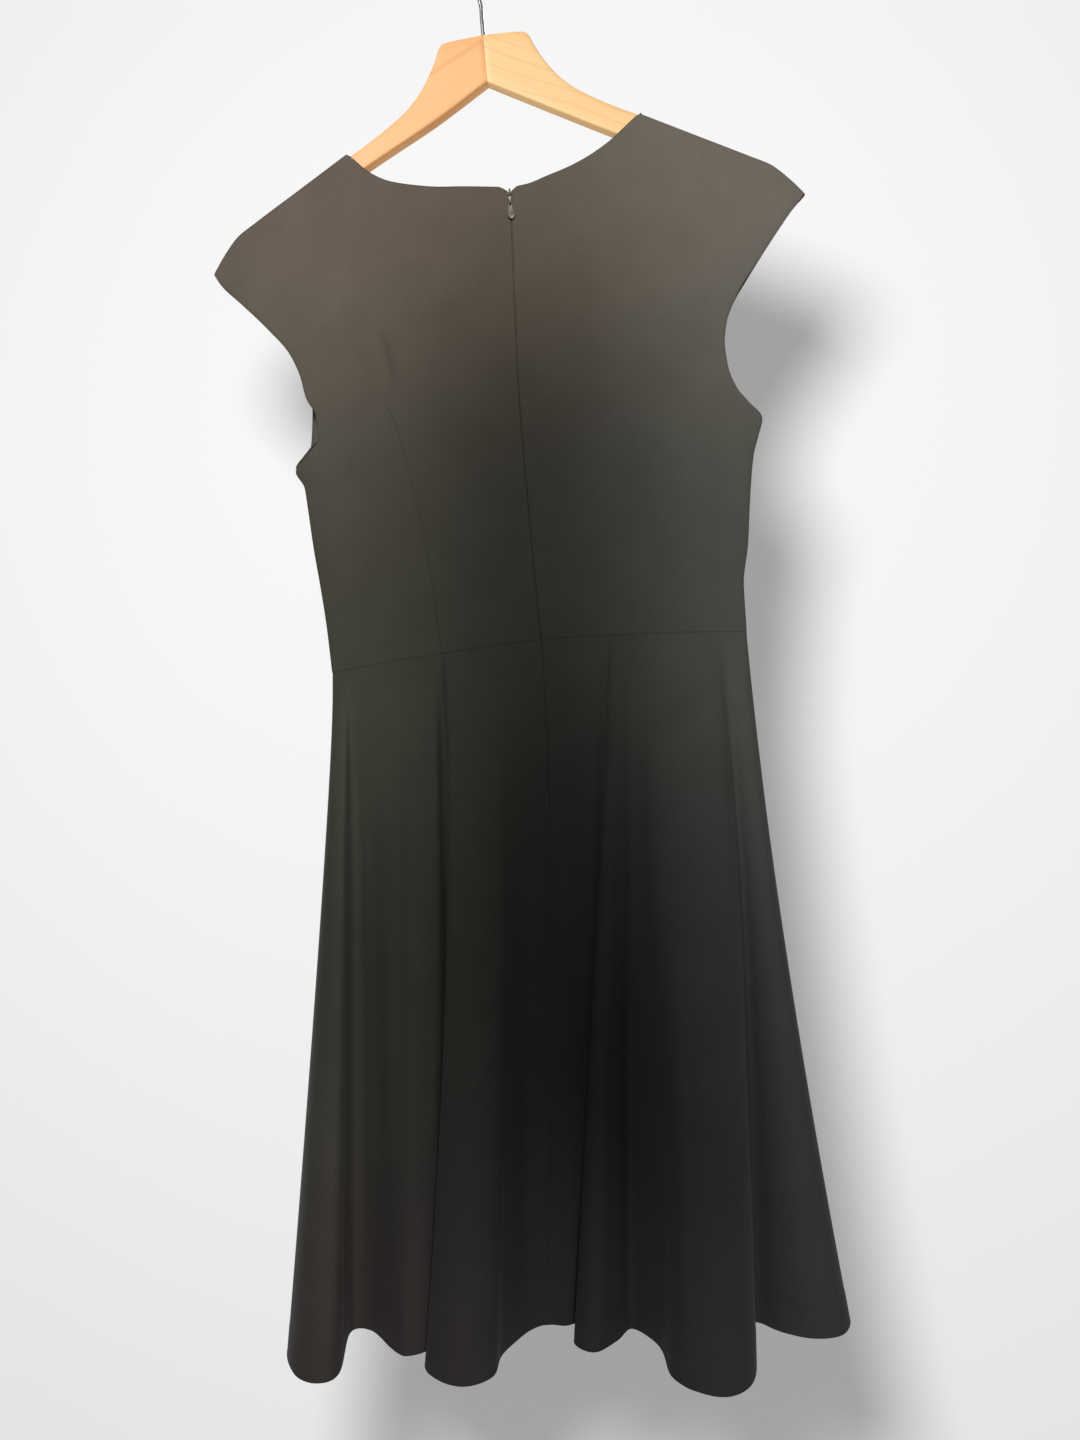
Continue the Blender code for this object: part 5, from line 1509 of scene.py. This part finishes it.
# From the window's rim (0) to the outline (1), and the depth there in half thicknesses
SUNKEN = 1.0 - PULL_SUNK / PULL_HALF
PULL_SECTION = named(
    "share depth",
    (0.0, 0.55), (0.03, 0.85), (0.10, SUNKEN), (0.62, SUNKEN), (0.68, 0.85), (0.74, 1.0),
    (0.90, 1.0), (0.97, 0.86), (1.0, 0.5),
)


def pull_plate():
    """Window + (outline - window) * share, as deep as the border or sunk inside it."""
    right = spline(PULL, PULL_STEPS)[TOP_LEFT_OUT:]
    top_x = np.linspace(-PULL[0][0], PULL[0][0], TOP_POINTS + 2)[1:-1]
    top = np.stack([top_x, np.full(TOP_POINTS, -EYE_DOWN)], -1)
    outline = np.concatenate([top, right, (right[:-1] * (-1, 1))[::-1]])
    spoke = np.arctan2(outline[:, 0], outline[:, 1] + WINDOW_DOWN)
    window = np.stack([np.sin(spoke), np.cos(spoke)], -1) * WINDOW_HALF - (0.0, WINDOW_DOWN)
    share, depth = PULL_SECTION["share"], PULL_SECTION["depth"] * PULL_HALF
    share, depth = np.concatenate([share, share[::-1]]), np.concatenate([-depth, depth[::-1]])
    flat = window[:, None] + (outline - window)[:, None] * share[:, None]
    rings = np.stack([flat[..., 0], depth + 0 * flat[..., 0], flat[..., 1]], -1)
    return sleeve(PIN + np.concatenate([rings, rings[:1]]), (False, False))


def pull_ear(side):
    """A rounded ring about the pin: its section is a small rounded square."""
    turn, section = np.linspace(0.0, 2 * math.pi, EAR_AROUND)[:, None], full_circle(EAR_SECTION)
    wide, thick = (EAR_TO - EAR_FROM) / 2, (LUG_RADIUS - EAR_BORE) / 2
    x = side * (EAR_FROM + wide) + wide * squared(np.cos(section), 0.5)
    radius = EAR_BORE + thick * (1 + squared(np.sin(section), 0.5))
    rings = np.stack([x + 0 * turn, radius * np.cos(turn), radius * np.sin(turn)], -1)
    return sleeve(PIN + rings, (False, False))


solid("zip_pull_drop", [pull_plate(), pull_ear(LEFT), pull_ear(RIGHT)], LACQUER, 60,
      body="zip_pull", replaces=["zip_pull"], slot="zip_metal")

# %% [markdown]

# %% [markdown]
# ## Light and backdrop
# The dress hangs in front of a pale wall, which glows a little so that its shade stays light.
# Wall and dress have their own lamps, as in a studio where the backdrop is lit apart: light
# linking says which pieces a lamp reaches and which throw its shade. The wall's lamp stands
# to the upper left of the camera, so the shade falls to the lower right. Black cloth in even
# light looks flat, so soft spots are aimed just past its edges and fade towards the middle.
# The wall can only be seen from its front, so the dress can be looked at from every side.

# %% Backdrop and lamps
WALL_Y, FLOOR_Z, STAGE_HALF = 0.40, -1.62, 3.0
PALE, GLOW = (0.40, 0.40, 0.40, 1), 0.285
DRESS_MIDDLE, WHITE = (0.0, 0.0, -0.6), (1.0, 1.0, 1.0)
ROOM_LIGHT, ROOM_SEEN = 0.21, 0.80   # the room gives little light, but looks as pale as the wall
WALL_KEY, WALL_KEY_AT, WALL_KEY_SOFT = 58.0, (-0.052, -0.926, -0.294), 0.13
FAR_LAMP, FAR_LAMP_AT, FAR_LAMP_SIZE = 34.0, (-0.75, 1.15, -0.1), 0.5
SUN_SPREAD = math.radians(20)
HANGER_SUNS = {                  # strength, and where the light comes from
    "hanger_key": (3.05, (-0.4, -1.0, 0.35)),
    "hanger_under": (1.1, (-0.1, -0.35, -1.0)),
    "hanger_far": (1.7, (0.5, 1.0, 0.5)),
}

# Spots on the cloth: the point they are aimed at (x, z), their strength and their colour
SPOT_X, SPOT_Y, SPOT_RISE, SPOT_CONE, SPOT_SOFT = 0.10, -1.30, 0.10, math.radians(32), 0.10
SPOTS = {
    "edge_left_high": (-0.36, -0.50, 125, (0.98, 1.00, 0.72)),
    "edge_left": (-0.40, -0.80, 66, (0.96, 1.00, 0.87)),
    "edge_left_low": (-0.42, -1.10, 60, (1.00, 0.88, 0.87)),
    "edge_right_high": (0.36, -0.50, 160, (0.95, 1.00, 0.86)),
    "edge_right": (0.40, -0.80, 105, (0.91, 0.95, 1.00)),
    "edge_right_low": (0.44, -1.10, 63, (0.91, 0.84, 1.00)),
    "neck": (0.00, -0.08, 150, (1.00, 0.80, 0.52)),
    "middle": (0.02, -0.44, 13, WHITE),
    "hem": (0.07, -1.27, 27, (1.00, 0.97, 0.98)),
    "shoulder_left": (-0.31, -0.17, 210, (1.00, 0.81, 0.77)),
    "shoulder_right": (0.31, -0.14, 235, (1.00, 0.90, 0.82)),
}


def flat_sheet(name, corners, material):
    """A single face, marked as stage."""
    mesh = bpy.data.meshes.new(name)
    mesh.from_pydata(corners, [], [(0, 1, 2, 3)])
    mesh.materials.append(material)
    made = placed(name, mesh)
    made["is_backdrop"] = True
    return made


def make_stage():
    """Wall and floor; the wall glows a little of itself, and its back is see-through."""
    paint = Finish("pale_paint", Roughness=0.9, Specular_IOR_Level=0.1, Base_Color=PALE,
                   Emission_Color=(*WHITE, 1), Emission_Strength=GLOW)
    front = Wire(paint, paint.shader.outputs[0])
    clear = paint.node("ShaderNodeBsdfTransparent", {}, {})
    behind = paint.node("ShaderNodeNewGeometry", {}, {}, "Backfacing")
    shown = paint.node("ShaderNodeMixShader", {}, {0: behind, 1: front, 2: clear})
    paint.tree.links.new(shown.socket, paint.tree.nodes["Material Output"].inputs["Surface"])
    h, y, z = STAGE_HALF, WALL_Y, FLOOR_Z
    top = z + 2 * h
    wall = flat_sheet("backdrop", [(-h, y, z), (h, y, z), (h, y, top), (-h, y, top)],
                      paint.material)
    wall.visible_shadow = False
    floor = flat_sheet("floor", [(-h, -h, z), (h, -h, z), (h, h, z), (-h, h, z)],
                       paint.material)
    floor.visible_diffuse = False    # no light comes up from it, which would flatten the folds
    return wall, floor


def group(name, things):
    """A collection used only to say what a lamp reaches or what shades it."""
    made = bpy.data.collections.new(name)
    for thing in things:
        made.objects.link(thing)
    return made


def lamp(name, kind, energy, colour, at, towards, reaches, shaded_by=None, **settings):
    """A lamp at a point, turned towards another, that reaches one group of things."""
    data = bpy.data.lights.new(name, kind)
    data.energy, data.color = energy, colour
    for key, value in settings.items():
        setattr(data, key, value)
    back = unit(np.array(at, dtype=float) - np.array(towards, dtype=float))
    side = unit(np.cross((0.0, 0.0, 1.0), back))
    made = placed(name, data, side, np.cross(back, side), back, at)
    made.visible_camera = False
    made.light_linking.receiver_collection = reaches
    if shaded_by:
        made.light_linking.blocker_collection = shaded_by
    return made


def evenly(made):
    """Lets a lamp lose no strength with distance, so that it lights the whole wall alike."""
    made.data.use_nodes = True
    tree = made.data.node_tree
    falloff = tree.nodes.new("ShaderNodeLightFalloff")
    falloff.inputs["Strength"].default_value = 1.0
    tree.links.new(falloff.outputs["Constant"], tree.nodes["Emission"].inputs["Strength"])


def make_room():
    """A faint light from all round, which the camera sees as a pale grey."""
    world = bpy.data.worlds.new("room")
    world.use_nodes = True
    tree = world.node_tree
    path, mix = tree.nodes.new("ShaderNodeLightPath"), tree.nodes.new("ShaderNodeMix")
    mix.inputs["A"].default_value, mix.inputs["B"].default_value = ROOM_LIGHT, ROOM_SEEN
    tree.links.new(path.outputs["Is Camera Ray"], mix.inputs["Factor"])
    tree.links.new(mix.outputs["Result"], tree.nodes["Background"].inputs["Strength"])
    tree.nodes["Background"].inputs["Color"].default_value = (*WHITE, 1)
    bpy.context.scene.world = world
    bpy.context.scene.view_settings.view_transform = "Standard"


def make_lamps(wall_and_floor):
    """The wall's key, the hanger's suns, and the dress's spots with a lamp on its far side."""
    cloth = [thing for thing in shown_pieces()
             if thing.name.endswith("crepe") or thing.name.startswith("zip")]
    stage = group("stage", wall_and_floor)
    hanger = group("hanger", [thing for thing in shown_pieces() if thing not in cloth])
    dress = group("dress", cloth)
    evenly(lamp("wall_key", "POINT", WALL_KEY, WHITE, WALL_KEY_AT, DRESS_MIDDLE, stage, dress,
                shadow_soft_size=WALL_KEY_SOFT))
    for name, (strength, source) in HANGER_SUNS.items():
        lamp(name, "SUN", strength, WHITE, source, (0.0, 0.0, 0.0), hanger, hanger,
             angle=SUN_SPREAD)
    for name, (x, z, energy, colour) in SPOTS.items():
        lamp(name, "SPOT", energy, colour, (SPOT_X, SPOT_Y, z + SPOT_RISE), (x, 0.0, z), dress,
             spot_size=SPOT_CONE, spot_blend=1.0, shadow_soft_size=SPOT_SOFT)
    lamp("far_side", "AREA", FAR_LAMP, WHITE, FAR_LAMP_AT, DRESS_MIDDLE, dress,
         size=FAR_LAMP_SIZE)


make_room()
make_lamps(make_stage())
